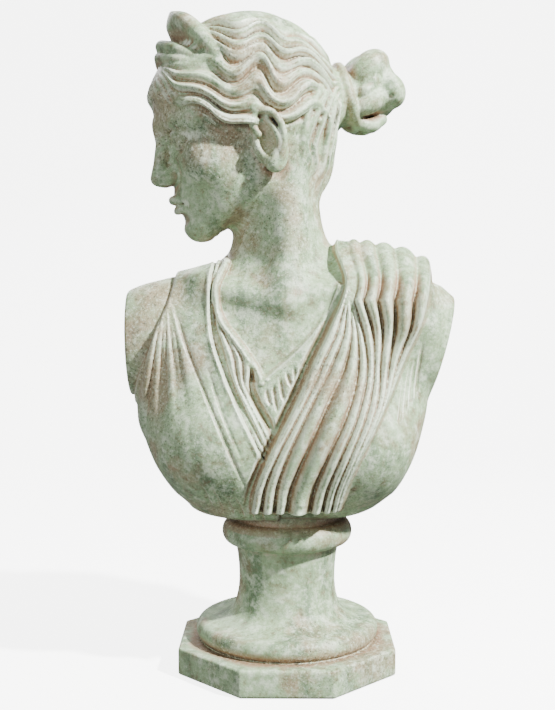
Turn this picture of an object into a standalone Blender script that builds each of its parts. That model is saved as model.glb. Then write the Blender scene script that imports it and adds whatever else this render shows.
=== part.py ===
"""Garden bust of a goddess with a diadem and gathered hair, cast in one piece with its turned socle."""
import math

import bmesh
import bpy
import numpy as np
from mathutils import Matrix

# Figure: its own height sets its size. Socle and plinth have sizes of their own, in metres.
FIGURE_HEIGHT = 0.540
SOCLE_HEIGHT = 0.162
PLINTH_ACROSS = 0.230
PLINTH_HEIGHT = 0.029
PLINTH_EDGE = 0.0025
FOOT_RADIUS = 0.0990
FOOT_THICKNESS = 0.021
COVE_HEIGHT = 0.020
STEM_FOOT_RADIUS = 0.0555
STEM_RADIUS = 0.0520
STEM_TOP_RADIUS = 0.0560
COLLAR_RADIUS = 0.0705
COLLAR_THICKNESS = 0.027
NECK_RADIUS = 0.0570
SEAT_DEPTH = 0.020
TURNED_STEPS = 32
FIGURE_CELL = 2.8
FIGURE_VOXEL = 0.0024
FIGURE_FACETS = 0.0342
STONE = (0.36, 0.38, 0.31, 1.0)

FAR = 1000.0


def shape(low, high, distance):
    return np.asarray(low, np.float32), np.asarray(high, np.float32), distance


def norm(v):
    return np.sqrt(np.einsum("ij,ij->i", v, v))


def turned(degrees):
    """Matrix whose rows are the turned axes, for a turn about X, then Y, then Z."""
    x, y, z = (math.radians(d) for d in degrees)
    cx, sx, cy, sy, cz, sz = math.cos(x), math.sin(x), math.cos(y), math.sin(y), math.cos(z), math.sin(z)
    rx = np.array([[1, 0, 0], [0, cx, -sx], [0, sx, cx]])
    ry = np.array([[cy, 0, sy], [0, 1, 0], [-sy, 0, cy]])
    rz = np.array([[cz, -sz, 0], [sz, cz, 0], [0, 0, 1]])
    return (rz @ ry @ rx).T.astype(np.float32)


def egg(centre, radii, turn=None):
    centre = np.array(centre, np.float32)
    radii = np.array(radii, np.float32)
    rows = None if turn is None else turned(turn)

    def distance(p):
        q = p - centre
        if rows is not None:
            q = q @ rows.T
        a = norm(q / radii)
        b = norm(q / radii**2)
        return a * (a - 1) / np.maximum(b, 1e-6)

    reach = radii if turn is None else np.full(3, radii.max())
    return shape(centre - reach, centre + reach, distance)


def roll(points, radii):
    points = np.array(points, np.float32)
    radii = np.broadcast_to(np.array(radii, np.float32), (len(points),))

    def distance(p):
        best = np.full(len(p), FAR, np.float32)
        for a, b, ra, rb in zip(points, points[1:], radii, radii[1:]):
            along = b - a
            t = np.clip((p - a) @ along / max(float(along @ along), 1e-9), 0, 1)
            best = np.minimum(best, norm(p - a - t[:, None] * along) - (ra + t * (rb - ra)))
        return best

    return shape(points.min(0) - radii.max(), points.max(0) + radii.max(), distance)


def union(a, b, blend):
    if not blend:
        return np.minimum(a, b)
    h = np.maximum(blend - np.abs(a - b), 0) / blend
    return np.minimum(a, b) - h * h * blend / 4


def smooth_step(x, low, high):
    t = np.clip((x - low) / (high - low), 0, 1)
    return t * t * (3 - 2 * t)


def hump(d):
    """A rounded ridge: 1 on its line and 0 from 1 outwards, where it ends in a soft crease."""
    return np.maximum(1 - d * d, 0)


CREASE_RADIUS = 1.1


def fold(across, half_width):
    """A fold's shape across: 1 on its crest and 0 in the rounded crease at each side."""
    soft = 2 * CREASE_RADIUS / np.maximum(half_width, CREASE_RADIUS)
    return (np.sqrt(hump(across) ** 2 + soft * soft) - soft) / (np.sqrt(1 + soft * soft) - soft)


def curve(points, count):
    """Points along a Catmull-Rom curve through the given ones."""
    p = np.array(points, np.float64)
    ends = np.vstack([2 * p[0] - p[1], p, 2 * p[-1] - p[-2]])
    out = []
    for s in np.linspace(0, len(p) - 1, count):
        i = min(int(s), len(p) - 2)
        t = s - i
        a, b, c, d = ends[i:i + 4]
        bend = (2 * a - 5 * b + 4 * c - d) * t**2 + (3 * b - a - 3 * c + d) * t**3
        out.append((2 * b + (c - a) * t + bend) / 2)
    return np.array(out)


class Clay:
    """Points of space with their distance to the modelled surface, negative inside."""

    def __init__(self, points, reach):
        self.at = points
        self.depth = np.full(len(points), FAR, np.float32)
        self.reach = reach

    def near(self, low, high, margin):
        at = self.at
        ok = np.ones(len(at), bool)
        for k in range(at.shape[1]):
            ok &= (at[:, k] > low[k] - margin) & (at[:, k] < high[k] + margin)
        return np.flatnonzero(ok)

    def add(self, what, blend=0.0):
        low, high, distance = what
        i = self.near(low, high, blend + self.reach)
        if len(i):
            self.depth[i] = union(self.depth[i], distance(self.at[i]), blend)

    def cut(self, what, blend=0.0):
        low, high, distance = what
        i = self.near(low, high, blend + self.reach)
        if len(i):
            self.depth[i] = -union(-self.depth[i], distance(self.at[i]), blend)


def ridge_heights(at, strokes):
    """The greatest height over each point of the strokes: ridges with a rounded top."""
    best = np.zeros(len(at), np.float32)
    for points, half_widths, heights, power in strokes:
        points = np.asarray(points, np.float32)
        reach = float(np.max(half_widths))
        low, high = points.min(0) - reach, points.max(0) + reach
        ok = np.ones(len(at), bool)
        for k in range(at.shape[1]):
            ok &= (at[:, k] > low[k]) & (at[:, k] < high[k])
        i = np.flatnonzero(ok)
        if not len(i):
            continue
        p = at[i]
        found = np.zeros(len(i), np.float32)
        for n in range(len(points) - 1):
            a, b = points[n], points[n + 1]
            along = b - a
            t = np.clip((p - a) @ along / max(float(along @ along), 1e-9), 0, 1)
            d = norm(p - a - t[:, None] * along)
            w = half_widths[n] + t * (half_widths[n + 1] - half_widths[n])
            h = heights[n] + t * (heights[n + 1] - heights[n])
            found = np.maximum(found, h * np.maximum(1 - (d / np.maximum(w, 1e-3)) ** 2, 0) ** power)
        best[i] = np.maximum(best[i], found)
    return best


OFFSETS = np.array([(i, j, k) for k in (0, 1) for j in (0, 1) for i in (0, 1)])


def skin(distance, low, high, cell, levels, slack=2.2, margin=5.0):
    """Vertices and quads of the surface where distance(points, reach) is zero."""
    low = np.array(low, float)
    size = cell * 2**levels
    counts = np.ceil((np.array(high) - low) / size).astype(int)
    cells = np.stack(np.meshgrid(*(np.arange(n) for n in counts), indexing="ij"), -1).reshape(-1, 3)
    for level in range(levels + 1):
        reach = size * 0.87 * slack + margin
        d = distance((low + (cells + 0.5) * size).astype(np.float32), reach)
        cells = cells[np.abs(d) < reach]
        if level < levels:
            cells = (cells[:, None] * 2 + OFFSETS).reshape(-1, 3)
            size /= 2
    span = (counts * 2**levels + 2).astype(np.int64)

    def key(c):
        return (c[..., 0] * span[1] + c[..., 1]) * span[2] + c[..., 2]

    corner_keys = key(cells[:, None] + OFFSETS)
    unique, inverse = np.unique(corner_keys, return_inverse=True)
    inverse = inverse.reshape(corner_keys.shape)
    corners = np.stack([unique // (span[1] * span[2]), unique // span[2] % span[1], unique % span[2]], 1)
    value = distance((low + corners * size).astype(np.float32), 3 * cell)[inverse]
    value[value == 0] = 1e-6
    inside = value < 0
    active = inside.any(1) & ~inside.all(1)
    cells, value, inside = cells[active], value[active], inside[active]
    order = np.argsort(key(cells))
    cells, value, inside = cells[order], value[order], inside[order]
    keys = key(cells)
    total = np.zeros((len(cells), 3))
    count = np.zeros(len(cells))
    for a in range(8):
        for step in (1, 2, 4):
            if a & step:
                continue
            b = a | step
            cross = inside[:, a] != inside[:, b]
            t = value[cross, a] / (value[cross, a] - value[cross, b])
            total[cross] += OFFSETS[a] + t[:, None] * (OFFSETS[b] - OFFSETS[a])
            count[cross] += 1
    points = low + (cells + total / count[:, None]) * size
    faces = []
    for axis in range(3):
        u, v = np.eye(3, dtype=int)[(axis + 1) % 3], np.eye(3, dtype=int)[(axis + 2) % 3]
        cross = np.flatnonzero(inside[:, 0] != inside[:, 1 << axis])
        c = cells[cross]
        quad = []
        for shift in (0 * u, -u, -u - v, -v):
            k = key(c + shift)
            found = np.clip(np.searchsorted(keys, k), 0, len(keys) - 1)
            quad.append(np.where(keys[found] == k, found, -1))
        quad = np.stack(quad, 1)
        flip = ~inside[cross, 0]
        quad[flip] = quad[flip][:, ::-1]
        faces.append(quad)
    faces = np.vstack(faces)
    return largest_piece(points, faces[(faces >= 0).all(1)])


def largest_piece(points, faces):
    """Drops sealed pockets and crumbs from the mesh."""
    label = np.arange(len(points))
    while True:
        least = np.repeat(label[faces].min(1), 4)
        found = label.copy()
        np.minimum.at(found, faces.ravel(), least)
        found = found[found]
        if (found == label).all():
            break
        label = found
    main = np.bincount(label[faces[:, 0]]).argmax()
    faces = faces[label[faces[:, 0]] == main]
    used, faces = np.unique(faces, return_inverse=True)
    return points[used], faces.reshape(-1, 4)


def normals(points, faces):
    """Outward normal at each point, from the quads round it."""
    across = np.cross(points[faces[:, 2]] - points[faces[:, 0]], points[faces[:, 3]] - points[faces[:, 1]])
    near = faces.ravel()
    total = np.stack([np.bincount(near, np.repeat(c, 4), len(points)) for c in across.T], 1)
    return total / np.maximum(norm(total), 1e-9)[:, None]


def settle(points, faces, distance, reach, rounds=2):
    """Moves the points along their normals onto the surface."""
    step = 0.4
    for _ in range(rounds):
        out = normals(points, faces)
        d = distance(points.astype(np.float32), reach)
        slope = (distance((points + step * out).astype(np.float32), reach) - d) / step
        points = points - out * np.clip(d / np.maximum(slope, 0.35), -0.7, 0.7)[:, None]
    return points


def relaxed(points, faces, rounds, amount=0.5):
    """Evens out the points by moving each towards the mean of its neighbours."""
    near = np.concatenate([faces, faces]).ravel()
    far = np.concatenate([np.roll(faces, 1, 1), np.roll(faces, -1, 1)]).ravel()
    count = np.bincount(near, minlength=len(points))[:, None]
    for _ in range(rounds):
        total = np.stack([np.bincount(near, c[far], len(points)) for c in points.T], 1)
        points = points + amount * (total / count - points)
    return points


# The figure is laid out in its own units, of which its height has 540, with its seat at Z 162:
# X to the viewer's right, -Y to the front, Z up.
SEAT = 162
ARM_CUT = 75.5
BODY_LIFT = 7
LOW, HIGH = (-200, -130, 150), (200, 130, 712)
HEAD_AT = (-44, 5, 570)
HEAD_YAW = 74
HEAD_PITCH = 18


def head_axes():
    yaw, pitch = math.radians(HEAD_YAW), math.radians(HEAD_PITCH)
    level = math.cos(pitch)
    ahead = np.array((-math.sin(yaw) * level, -math.cos(yaw) * level, -math.sin(pitch)))
    left = np.array((math.cos(yaw), -math.sin(yaw), 0))
    return np.stack([ahead, left, np.cross(ahead, left)]).astype(np.float32)


AXES = head_axes()
SKULL_AT = (-12, 0, 30)
HAIR = (97, 79, 96)


def face(clay):
    clay.add(egg((-10, 0, 40), (90, 70, 80)))
    clay.add(egg((44, 0, 52), (42, 56, 46)), 18)
    whole = clay.at
    clay.at = clay.at + np.array((0, 0, 5), np.float32)
    clay.add(egg((34, 0, 0), (50, 56, 80)), 20)
    clay.add(roll([(76, 6, -68), (50, 30, -56), (12, 50, -40), (0, 58, -5)], [11, 12, 13, 12]), 26)
    clay.add(egg((77, 0, -70), (15, 22, 16)), 18)
    clay.add(egg((54, 38, -8), (26, 20, 24)), 22)
    clay.add(egg((74, 0, -38), (20, 28, 24)), 14)
    clay.add(roll([(84, 0, 38), (80, 16, 40), (72, 34, 41), (56, 52, 36)], [6, 6.5, 6.5, 6]), 16)
    clay.cut(egg((88, 30, 19), (12, 18, 11)), 12)
    clay.cut(egg((87, 18, 19), (7, 5, 9)), 6)
    clay.add(roll([(83, 0, 42), (88, 0, 22), (98, 0, 2), (105, 0, -10)], [9, 8.5, 8, 8]), 8)
    clay.add(roll([(78, 0, -4), (97, 0, -14)], [12, 8]), 6)
    clay.add(egg((96, 9, -14), (9, 6, 6.5)), 6)
    clay.add(egg((70, 31, 21), (14, 14, 14)), 1)
    upper_lid = [(77, 17, 19), (82, 24, 27), (80.5, 34, 28.5), (73, 44, 24), (69, 48, 19)]
    lower_lid = [(77, 17, 18), (81, 25, 12.5), (79.5, 34, 12), (72, 44, 15), (69, 48, 18)]
    clay.add(roll(curve(upper_lid, 12), 1.9), 2)
    clay.add(roll(curve(lower_lid, 12), 1.5), 2)
    clay.cut(egg((99, 6, -21.5), (6.5, 3, 4.5)), 2)
    clay.cut(roll([(96, 0, -26), (97.5, 0, -33)], [2.2, 2.6]), 4)
    clay.add(roll([(83, 18, -42.5), (90.5, 10, -38.5), (96, 4, -36), (96.5, 0, -37)], [2, 4.2, 4.8, 4.6]), 3)
    clay.add(roll([(83, 17, -44), (89.5, 9, -48), (94, 0, -49)], [2, 5, 6]), 3)
    clay.cut(roll([(86, 19, -42.4), (93, 11, -42.4), (99, 4, -41.6), (100, 0, -42.6)], 0.9), 1.8)
    clay.cut(egg((95, 0, -59), (8, 16, 5)), 8)
    clay.at = whole


def ear(clay):
    rows = turned((0, 0, -18))
    base = np.array((-2, 75, -13), np.float32)

    local = Clay((clay.at - base) @ rows.T, clay.reach)
    local.add(egg((0, 0, -2), (17, 7, 30)))
    local.cut(egg((3, 9, 2), (12, 9, 21)), 2.5)
    outer = [(9, 4, 8), (12, 5, 20), (4, 7, 30), (-9, 8, 27), (-16, 8, 12), (-14, 7, -6), (-6, 6, -20)]
    local.add(roll(curve(outer, 16), 3.5), 2)
    local.add(roll(curve([(-4, 5, 20), (-9, 7, 6), (-8, 7, -8), (-1, 6, -14)], 9), 2.8), 3)
    local.add(egg((2, 4, -24), (8, 6, 9)), 5)
    local.add(egg((13, 4, -4), (4, 4, 6)), 4)
    local.cut(egg((5, 4, -3), (6, 5, 8)), 2)
    return local


PARTING_TILT, KNOT_TILT = 38, 11
LOCK_STEP = 12
LOCK_HEIGHT, LOCK_HALF_WIDTH = 8.5, 9
WAVE_LENGTH, WAVE_SWING = 38, 4.4


def hair_relief(p):
    """Height of the waving locks, combed from the parting over the ear to the knot."""
    away = p - np.array(SKULL_AT, np.float32)
    away /= np.maximum(norm(away), 1)[:, None]
    tilt = np.full(len(p), math.radians(25), np.float32)
    for _ in range(4):
        back = np.arccos(np.clip(away[:, 0] * np.cos(tilt) + away[:, 2] * np.sin(tilt), -1, 1))
        tilt = np.radians(PARTING_TILT + (KNOT_TILT - PARTING_TILT) * smooth_step(back, 0, math.pi))
    up = np.degrees(np.arctan2(away[:, 2] * np.cos(tilt) - away[:, 0] * np.sin(tilt), away[:, 1]))
    back = np.degrees(back)
    spread = np.maximum(np.sin(np.radians(back)), 0.15)
    half_width = LOCK_HALF_WIDTH * spread
    calm = 1 - 0.85 * smooth_step(up, 50, 72)
    turn = back * 360 / WAVE_LENGTH + 1.2 * up + 45 * np.sin(np.radians(2.3 * up + 1.4 * back))
    turn += 30 * np.sin(np.radians(4.1 * back - 1.3 * up + 50))
    swing = WAVE_SWING * np.sin(np.radians(turn))
    swing *= 1 + 0.55 * np.sin(np.radians(3.1 * up + 1.9 * back + 200))
    swing *= smooth_step(back, 12, 40) * (1 - smooth_step(back, 148, 172))
    uneven = 3.2 * np.sin(np.radians(2.1 * back + 1.3 * up + 90))
    uneven += 3 * np.sin(np.radians(6 * up + 1.1 * back + 40))
    place = (up - swing * calm / spread + uneven) / LOCK_STEP
    lock = np.floor(place + 0.5)
    across = 2 * (place - lock)
    top = LOCK_HEIGHT * (0.6 + 0.4 * smooth_step(back, 20, 55)) * (0.25 + 0.75 * calm)
    top *= 0.9 + 0.32 * np.sin(1.9 * lock + np.radians(4.3 * back)) - 0.5 * smooth_step(back, 150, 170)
    top *= 1 - smooth_step(-up, 12, 30) * smooth_step(back, 84, 104)
    top = np.minimum(top, 1.1 * half_width)
    strand = np.exp(-(((np.abs(across + 0.2 * np.sin(2.3 * lock)) - 0.36) / 0.11) ** 2))
    return top * (fold(across, half_width) - 0.16 * calm * strand * hump(across))


NAPE_LOCKS = 7


def nape_locks():
    """Locks combed up from the nape to the knot, in side view."""
    locks = []
    for n in range(NAPE_LOCKS):
        bend = 5 * math.sin(1.7 * n)
        path = ((-110 + 6 * n, -7 + 4.5 * n), (-107 + 9 * n, -28 + 5.5 * n),
                (-90 + 9 * n + bend, -48 + 4 * n), (-82 + 8 * n, -68 + 4 * n),
                (-62 + 7 * n + bend, -84 + 6 * n), (-50 + 7 * n, -97 + 7 * n))
        swell = 6.4 + 1.5 * math.sin(2.3 * n + 1)
        locks.append((curve(path, 16), np.linspace(swell, 4.5, 16), np.linspace(9 - 0.4 * n, 2.5, 16), 1.2))
    return locks


def hair(clay):
    cap = Clay(clay.at, clay.reach + 10)
    cap.add(egg(SKULL_AT, HAIR))
    cap.add(egg((42, 0, 54), (47, 62, 43)), 10)
    cap.add(egg((-48, 0, -26), (39, 44, 54)), 16)
    p = clay.at
    above = (p - np.array((89, 0, 72), np.float32)) @ np.array((0.732, 0, -0.681), np.float32)
    above = -union(-above, -(14 - p[:, 2]), 14)
    behind = (p - np.array((-16, 74, -20), np.float32)) @ np.array((0.975, 0, -0.224), np.float32)
    cap.depth = -union(-cap.depth, -union(above, behind, 6), 6)
    i = np.flatnonzero(np.abs(cap.depth) < 12 + cap.reach)
    x, y, z = p[i].T
    nape = ridge_heights(p[i][:, [0, 2]], nape_locks()) * smooth_step(y, 22, 44)
    turn = np.degrees(np.arctan2(y, 20 - x)) * 360 / 13 + 1.2 * z
    combed = 3.5 * (0.5 + 0.5 * np.cos(np.radians(turn))) ** 1.2 * (1 - smooth_step(y, 22, 40))
    nape += combed * smooth_step(-x, 20, 40) * smooth_step(-z, 0, 14) * (1 - smooth_step(-z, 70, 95))
    cap.depth[i] -= np.maximum(hair_relief(p[i]), nape)
    clay.depth = union(clay.depth, 0.65 * cap.depth, 2.5)


KNOT_AT = (-152, 0, 9)


def knot(clay):
    x, y, z = KNOT_AT
    clay.add(roll([(-92, 0, 14), (-118, 0, 9), (-134, 0, 8)], [36, 29, 27]), 8)
    clay.add(egg((x - 2, y, z + 2), (28, 30, 35)), 6)
    for side in (1, -1):
        clay.add(egg((x + 3, side * 16, z + 22), (25, 20, 17), (0, 28, 0)), 5)
        clay.add(egg((x - 15, side * 15, z - 7), (16, 19, 20), (0, 10, 0)), 4)
        clay.add(egg((x + 14, side * 22, z - 13), (21, 14, 12), (0, 14, 0)), 4)
        clay.add(egg((x + 12, side * 26, z + 4), (17, 10, 8), (0, 30, 0)), 3)
        crease = [(x + 34, side * 33, z + 12), (x + 4, side * 38, z + 2), (x - 10, side * 36, z + 8)]
        clay.cut(roll(crease, [3, 2.5, 1]), 5)
        clay.cut(egg((x - 7, side * 37, z - 14), (4, 9, 3)), 2)
        crease = [(x + 30, side * 30, z - 24), (x + 6, side * 32, z - 30), (x - 12, side * 24, z - 28)]
        clay.cut(roll(crease, 2), 3)
        under = [(x + 35, side * 12, z - 23), (x + 26, side * 15, z - 33), (x + 15, side * 14, z - 37),
                 (x + 2, side * 10, z - 34)]
        clay.add(roll(curve(under, 10), np.linspace(8, 6.5, 10)), 2)
    clay.add(roll([(x + 15, 14, z - 37), (x + 11, 0, z - 38), (x + 15, -14, z - 37)], 7), 3)
    clay.add(egg((x - 12, 0, z + 27), (17, 18, 15)), 5)
    turn = np.linspace(0, 2 * math.pi, 25)
    ring = np.stack([3 * np.cos(2 * turn) - 118, 29 * np.cos(turn), 9 + 34 * np.sin(turn)], 1)
    clay.add(roll(ring, 5.5), 3)


# crest of the diadem and of the two hair rolls before it, from the middle to the side, with radii
DIADEM = (((34, 0, 127), (29, 22, 120), (24, 40, 104), (19, 56, 83), (16, 66, 64)), (13, 12, 10, 7.5, 3))
ROLLS = ((((58, 0, 113), (52, 25, 105), (40, 43, 90), (28, 57, 75), (21, 65, 66)), (7, 6.5, 5.5, 4, 2)),
         (((63, 0, 102), (58, 26, 95), (46, 45, 84), (33, 59, 72), (22, 67, 63)), (7, 6.5, 5.5, 4, 2)))


def diadem(clay):
    wedge = Clay(clay.at, clay.reach)
    path, radii = (curve(c, 14) for c in (DIADEM[0], [(r, 0) for r in DIADEM[1]]))
    radii = radii[:, 0]
    middle = np.array(SKULL_AT)
    for lift in (-5, 4, 11):
        away = path - middle
        away /= np.linalg.norm(away, axis=1)[:, None]
        clay_radii = radii * (1 - 0.32 * (lift + 5) / 16)
        wedge.add(roll(path + away * lift * (radii / radii[0])[:, None], clay_radii), 5)
    front = wedge.at @ np.array((0.903, 0, 0.43), np.float32) - 98
    wedge.depth = -union(-wedge.depth, -front, 3)
    clay.depth = union(clay.depth, wedge.depth, 2)
    for path, radii in ROLLS:
        clay.add(roll(curve(path, 12), np.interp(np.linspace(0, 4, 12), range(5), radii)), 1.5)


def head(points, reach):
    clay = Clay(points, reach)
    clay.at = np.stack([points[:, 0], np.abs(points[:, 1]), points[:, 2]], 1)
    face(clay)
    hair(clay)
    listen = ear(clay)
    clay.depth = union(clay.depth, listen.depth, 3)
    diadem(clay)
    clay.at = points
    knot(clay)
    return clay.depth


# Drapery, laid out in the front view: x across and z up, in mm
MANTLE_Z = (160, 174, 199, 238, 268, 299, 329, 364, 410, 440)
MANTLE_LEFT = (-41, -38, -33, -17, -2, 13, 26, 43, 59, 50)
MANTLE_RIGHT = (50, 54, 60, 76, 92, 108, 122, 138, 150, 156)
# creases between its folds, as shares of its width at each height, and the height of each fold
CREASE_Z = (177, 239, 290, 325, 360, 390)
CREASES = (
    (0, 0, 0, 0, 0, 0), (0.125, 0.10, 0.118, 0.117, 0.11, 0.048), (0.27, 0.205, 0.186, 0.213, 0.178, 0.072),
    (0.406, 0.39, 0.353, 0.36, 0.256, 0.096), (0.66, 0.64, 0.588, 0.50, 0.31, 0.108),
    (0.80, 0.775, 0.70, 0.596, 0.367, 0.133), (0.90, 0.87, 0.785, 0.67, 0.478, 0.253),
    (0.96, 0.94, 0.87, 0.733, 0.589, 0.41), (0.985, 0.975, 0.94, 0.83, 0.722, 0.60),
    (0.995, 0.99, 0.98, 0.92, 0.889, 0.82), (1, 1, 1, 1, 1, 1))
FOLD_HEIGHTS = (7, 6.5, 5.5, 8, 6.5, 8.5, 7.5, 8, 8.5, 9)
STRAP_TOPS = ((58, 451), (79, 449), (100, 445), (121, 440), (141, 431))


def smooth_curve(z, zs, xs):
    """Cubic through the stations, for many heights."""
    zs, xs = np.array(zs, float), np.array(xs, float)
    slope = np.gradient(xs, zs)
    i = np.clip(np.searchsorted(zs, z) - 1, 0, len(zs) - 2)
    h = zs[i + 1] - zs[i]
    t = np.clip((z - zs[i]) / h, 0, 1)
    h00, h10 = 2 * t**3 - 3 * t**2 + 1, t**3 - 2 * t**2 + t
    h01, h11 = -2 * t**3 + 3 * t**2, t**3 - t**2
    return h00 * xs[i] + h10 * h * slope[i] + h01 * xs[i + 1] + h11 * h * slope[i + 1]


def pleats(x, z, left, wide, heights_at, creases, tops):
    """Height of the folds that lie side by side between creases down a band of cloth."""
    share = (x - left) / wide
    shares = [smooth_curve(z, heights_at, row) for row in creases]
    folds = np.zeros(len(x), np.float32)
    for a, b, top in zip(shares, shares[1:], tops):
        broad = (b - a) * wide
        across = 2 * (share - a) / np.maximum(b - a, 1e-3) - 1
        folds = np.maximum(folds, np.minimum(top, 0.45 * broad) * fold(across, broad / 2))
    return folds


def mantle_height(p):
    """Height of the mantle's folds, and how far it covers what lies under it."""
    x, z = p[:, 0], p[:, 2]
    left = smooth_curve(z, MANTLE_Z, MANTLE_LEFT)
    wide = smooth_curve(z, MANTLE_Z, MANTLE_RIGHT) - left
    folds = pleats(x, z, left, wide, CREASE_Z, CREASES, FOLD_HEIGHTS)
    over = smooth_step(x - left, -3, 3.5) * smooth_step(wide + left - x, -5, 4) * smooth_step(z, 170, 176)
    top = smooth_step(z, 386, 425)
    return 7 * (1 - 0.8 * top) + 1.25 * folds * (1 - 0.6 * top), over


def line(*points):
    return curve([(x, 0, z) for x, z in points], 4 * len(points))[:, ::2]


def groove_height(at, lines):
    """How deep the strokes cut: each is its points, half width and depth, and fades at both ends."""
    deepest = np.zeros(len(at), np.float32)
    for points, half, depth in lines:
        n = len(points)
        fade = np.minimum(1, 4 * np.minimum(np.arange(n) + 0.3, n - 0.7 - np.arange(n)) / n)
        widths = half * (0.5 + 0.5 * fade)
        deepest = np.maximum(deepest, ridge_heights(at, [(points, widths, depth * fade, 1.3)]))
    return deepest


# the fan of folds below the pinned shoulder: angle from straight down, half width, height and length
PIN = (-125, 402)
FAN = ((-12.5, 3.4, 6, 190), (-6.8, 3.2, 4, 165), (-1.4, 2.3, 2.4, 115), (3.4, 3.0, 3.2, 150),
       (9.4, 2.4, 1.8, 105), (15, 3.6, 2.2, 150))
# outer edge of the left garment and rolled edge of the neckline, as x and z
OVERFOLD_EDGE = ((-77, 425), (-79, 400), (-77, 354), (-63, 313), (-52, 288), (-30, 243), (-16, 210),
                 (-8, 170))
NECK_LEFT = ((-64, 430), (-74, 400), (-69, 372), (-50, 346), (-37, 328), (-30, 316), (-26, 307))
NECK_RIGHT = ((-26, 307), (-8, 322), (13, 341), (30, 360), (43, 380), (53, 406))
INNER_EDGE = ((-64, 430), (-74, 400), (-69, 372), (-50, 346), (-38, 328), (-37, 300), (-27, 280), (-18, 262),
              (-8, 236))
INNER_Z = (236, 262, 290, 318, 340, 360, 390)
INNER_CREASES = ((0,) * 7, (0.3, 0.3, 0.3, 0.22, 0.27, 0.38, 0.5), (0.62, 0.62, 0.6, 0.47, 0.6, 0.66, 0.7),
                 (0.85, 0.85, 0.85, 0.72, 0.82, 0.85, 0.9), (1,) * 7)
CRINKLES = 8


def along(z, path):
    """x of a line of points at the heights z."""
    low_first = path if path[0][1] < path[-1][1] else path[::-1]
    return smooth_curve(z, [q[1] for q in low_first], [q[0] for q in low_first])


def ridge(path, half, height):
    points = line(*path)
    return points, np.full(len(points), half), np.full(len(points), height), 1.3


def front_drapery(p):
    """Height of the cloth over the body, for points in front."""
    at = np.stack([p[:, 0], p[:, 2]], 1)
    x, z = at[:, 0], at[:, 1]
    edge = along(z, OVERFOLD_EDGE)
    inner = along(z, INNER_EDGE)
    armhole = smooth_curve(z, (150, 262, 300, 350, 404, 430), (-190, -170, -160, -140, -121, -118))
    neck_z = smooth_curve(x, [q[0] for q in NECK_RIGHT], [q[1] for q in NECK_RIGHT])

    garment = smooth_step(x - armhole, -2.5, 3.5) * smooth_step(edge - x, -3, 3)
    turn = np.degrees(np.arctan2(x - PIN[0], np.maximum(PIN[1] - z, 1)))
    away = np.hypot(x - PIN[0], z - PIN[1])
    fan = np.zeros(len(p), np.float32)
    for angle, half, height, length in FAN:
        fade = np.minimum(away / 55, 1) * (1 - smooth_step(away, 0.45 * length, length)) * (z < PIN[1])
        fan = np.maximum(fan, height * hump((turn - angle) / half) * fade)
    hem = ridge_heights(at, [ridge(OVERFOLD_EDGE, 6, 2.2)])
    left = garment * (8 + fan + hem)

    inside = smooth_step(inner - x, -2.5, 2.5) * (z > 225)
    left_folds = pleats(x, z, edge, np.maximum(inner - edge, 3), INNER_Z, INNER_CREASES, (5.5, 5, 5, 6))
    right = smooth_step(neck_z - z, -2.5, 2.5) * smooth_step(x - inner, -2, 2)
    chiton = inside * (4 + left_folds) + 5 * right
    curl = ((-34, 325), (-28, 313), (-20, 310))
    rolled = [ridge(NECK_LEFT, 5.5, 6), ridge(NECK_RIGHT, 4, 2.6), ridge(curl, 5, 4)]
    chiton = np.maximum(chiton, ridge_heights(at, rolled) + 3 * np.maximum(inside, right))

    mantle_edge = list(zip(MANTLE_LEFT, MANTLE_Z))[1:-1]
    grooves = [
        (line(*mantle_edge) - (4.5, 0), 6, 6.5),
        (line(*OVERFOLD_EDGE[1:-2]) + (3.5, 0), 4, 5),
        (line((-37, 322), (-38, 300), (-28, 279), (-17, 260), (-10, 240)) + (2, 0), 6.5, 8),
        (line((-121, 396), (-98, 330), (-62, 250), (-36, 186)), 2.6, 2),
        (line((-84, 330), (-66, 280), (-40, 220)), 2.2, 1.5),
    ]
    for n in range(CRINKLES):
        top_x, top_z = 7 * n - 21, 301 + 5.5 * n
        drop = 15 + 17 * math.sin(0.9 * n + 0.4) ** 2
        path = (top_x, top_z), (top_x + 2, top_z - 0.5 * drop), (top_x + 5, top_z - drop)
        grooves.append((line(*path), 2.6, 3))
    for n in range(6):
        top_x, top_z = 11 * n - 90, 208 - 4 * n
        path = (top_x, top_z), (top_x + 8, top_z - 16), (top_x + 13, top_z - 34)
        grooves.append((line(*path), 2.6, 1.2))
    for n in range(4):
        top_x, top_z = 141 - 7 * n, 350 - 14 * n
        path = (top_x, top_z), (top_x - 5, top_z - 34), (top_x - 8, top_z - 66 + 8 * n)
        grooves.append((line(*path), 2.6, 2))
    under = np.maximum(left, (1 - garment) * chiton) - groove_height(at, grooves)
    mantle, over = mantle_height(p)
    return under + over * (6 + mantle - under)


def back_drapery(p):
    """Height of the plainer cloth over the back."""
    x, z = p[:, 0], p[:, 2]
    neck = 398 + 0.0016 * x**2
    armhole = smooth_curve(z, (150, 262, 300, 350, 404, 430), (190, 172, 158, 138, 122, 118))
    cover = smooth_step(neck - z, -4, 4) * smooth_step(armhole - np.abs(x), -4, 4) * smooth_step(z, 172, 178)
    slant = x - 0.16 * (z - 300) * np.sign(x)
    soft = 2.6 * (0.5 + 0.5 * np.cos(np.radians(slant * 360 / 38))) ** 1.5 * smooth_step(395 - z, 0, 70)
    left = 58 - 0.55 * (425 - z)
    wide = 92 - 0.06 * (425 - z)
    creases = [(n / 5,) * 2 for n in range(6)]
    folds = pleats(x, z, left, wide, (170, 430), creases, (6,) * 5)
    over = smooth_step(x - left, -3, 3) * smooth_step(left + wide - x, -3, 3) * smooth_step(z, 172, 178)
    return cover * (5 + soft) * (1 - over) + over * (9 + folds) * (1 - 0.8 * smooth_step(z, 390, 425))


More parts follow.
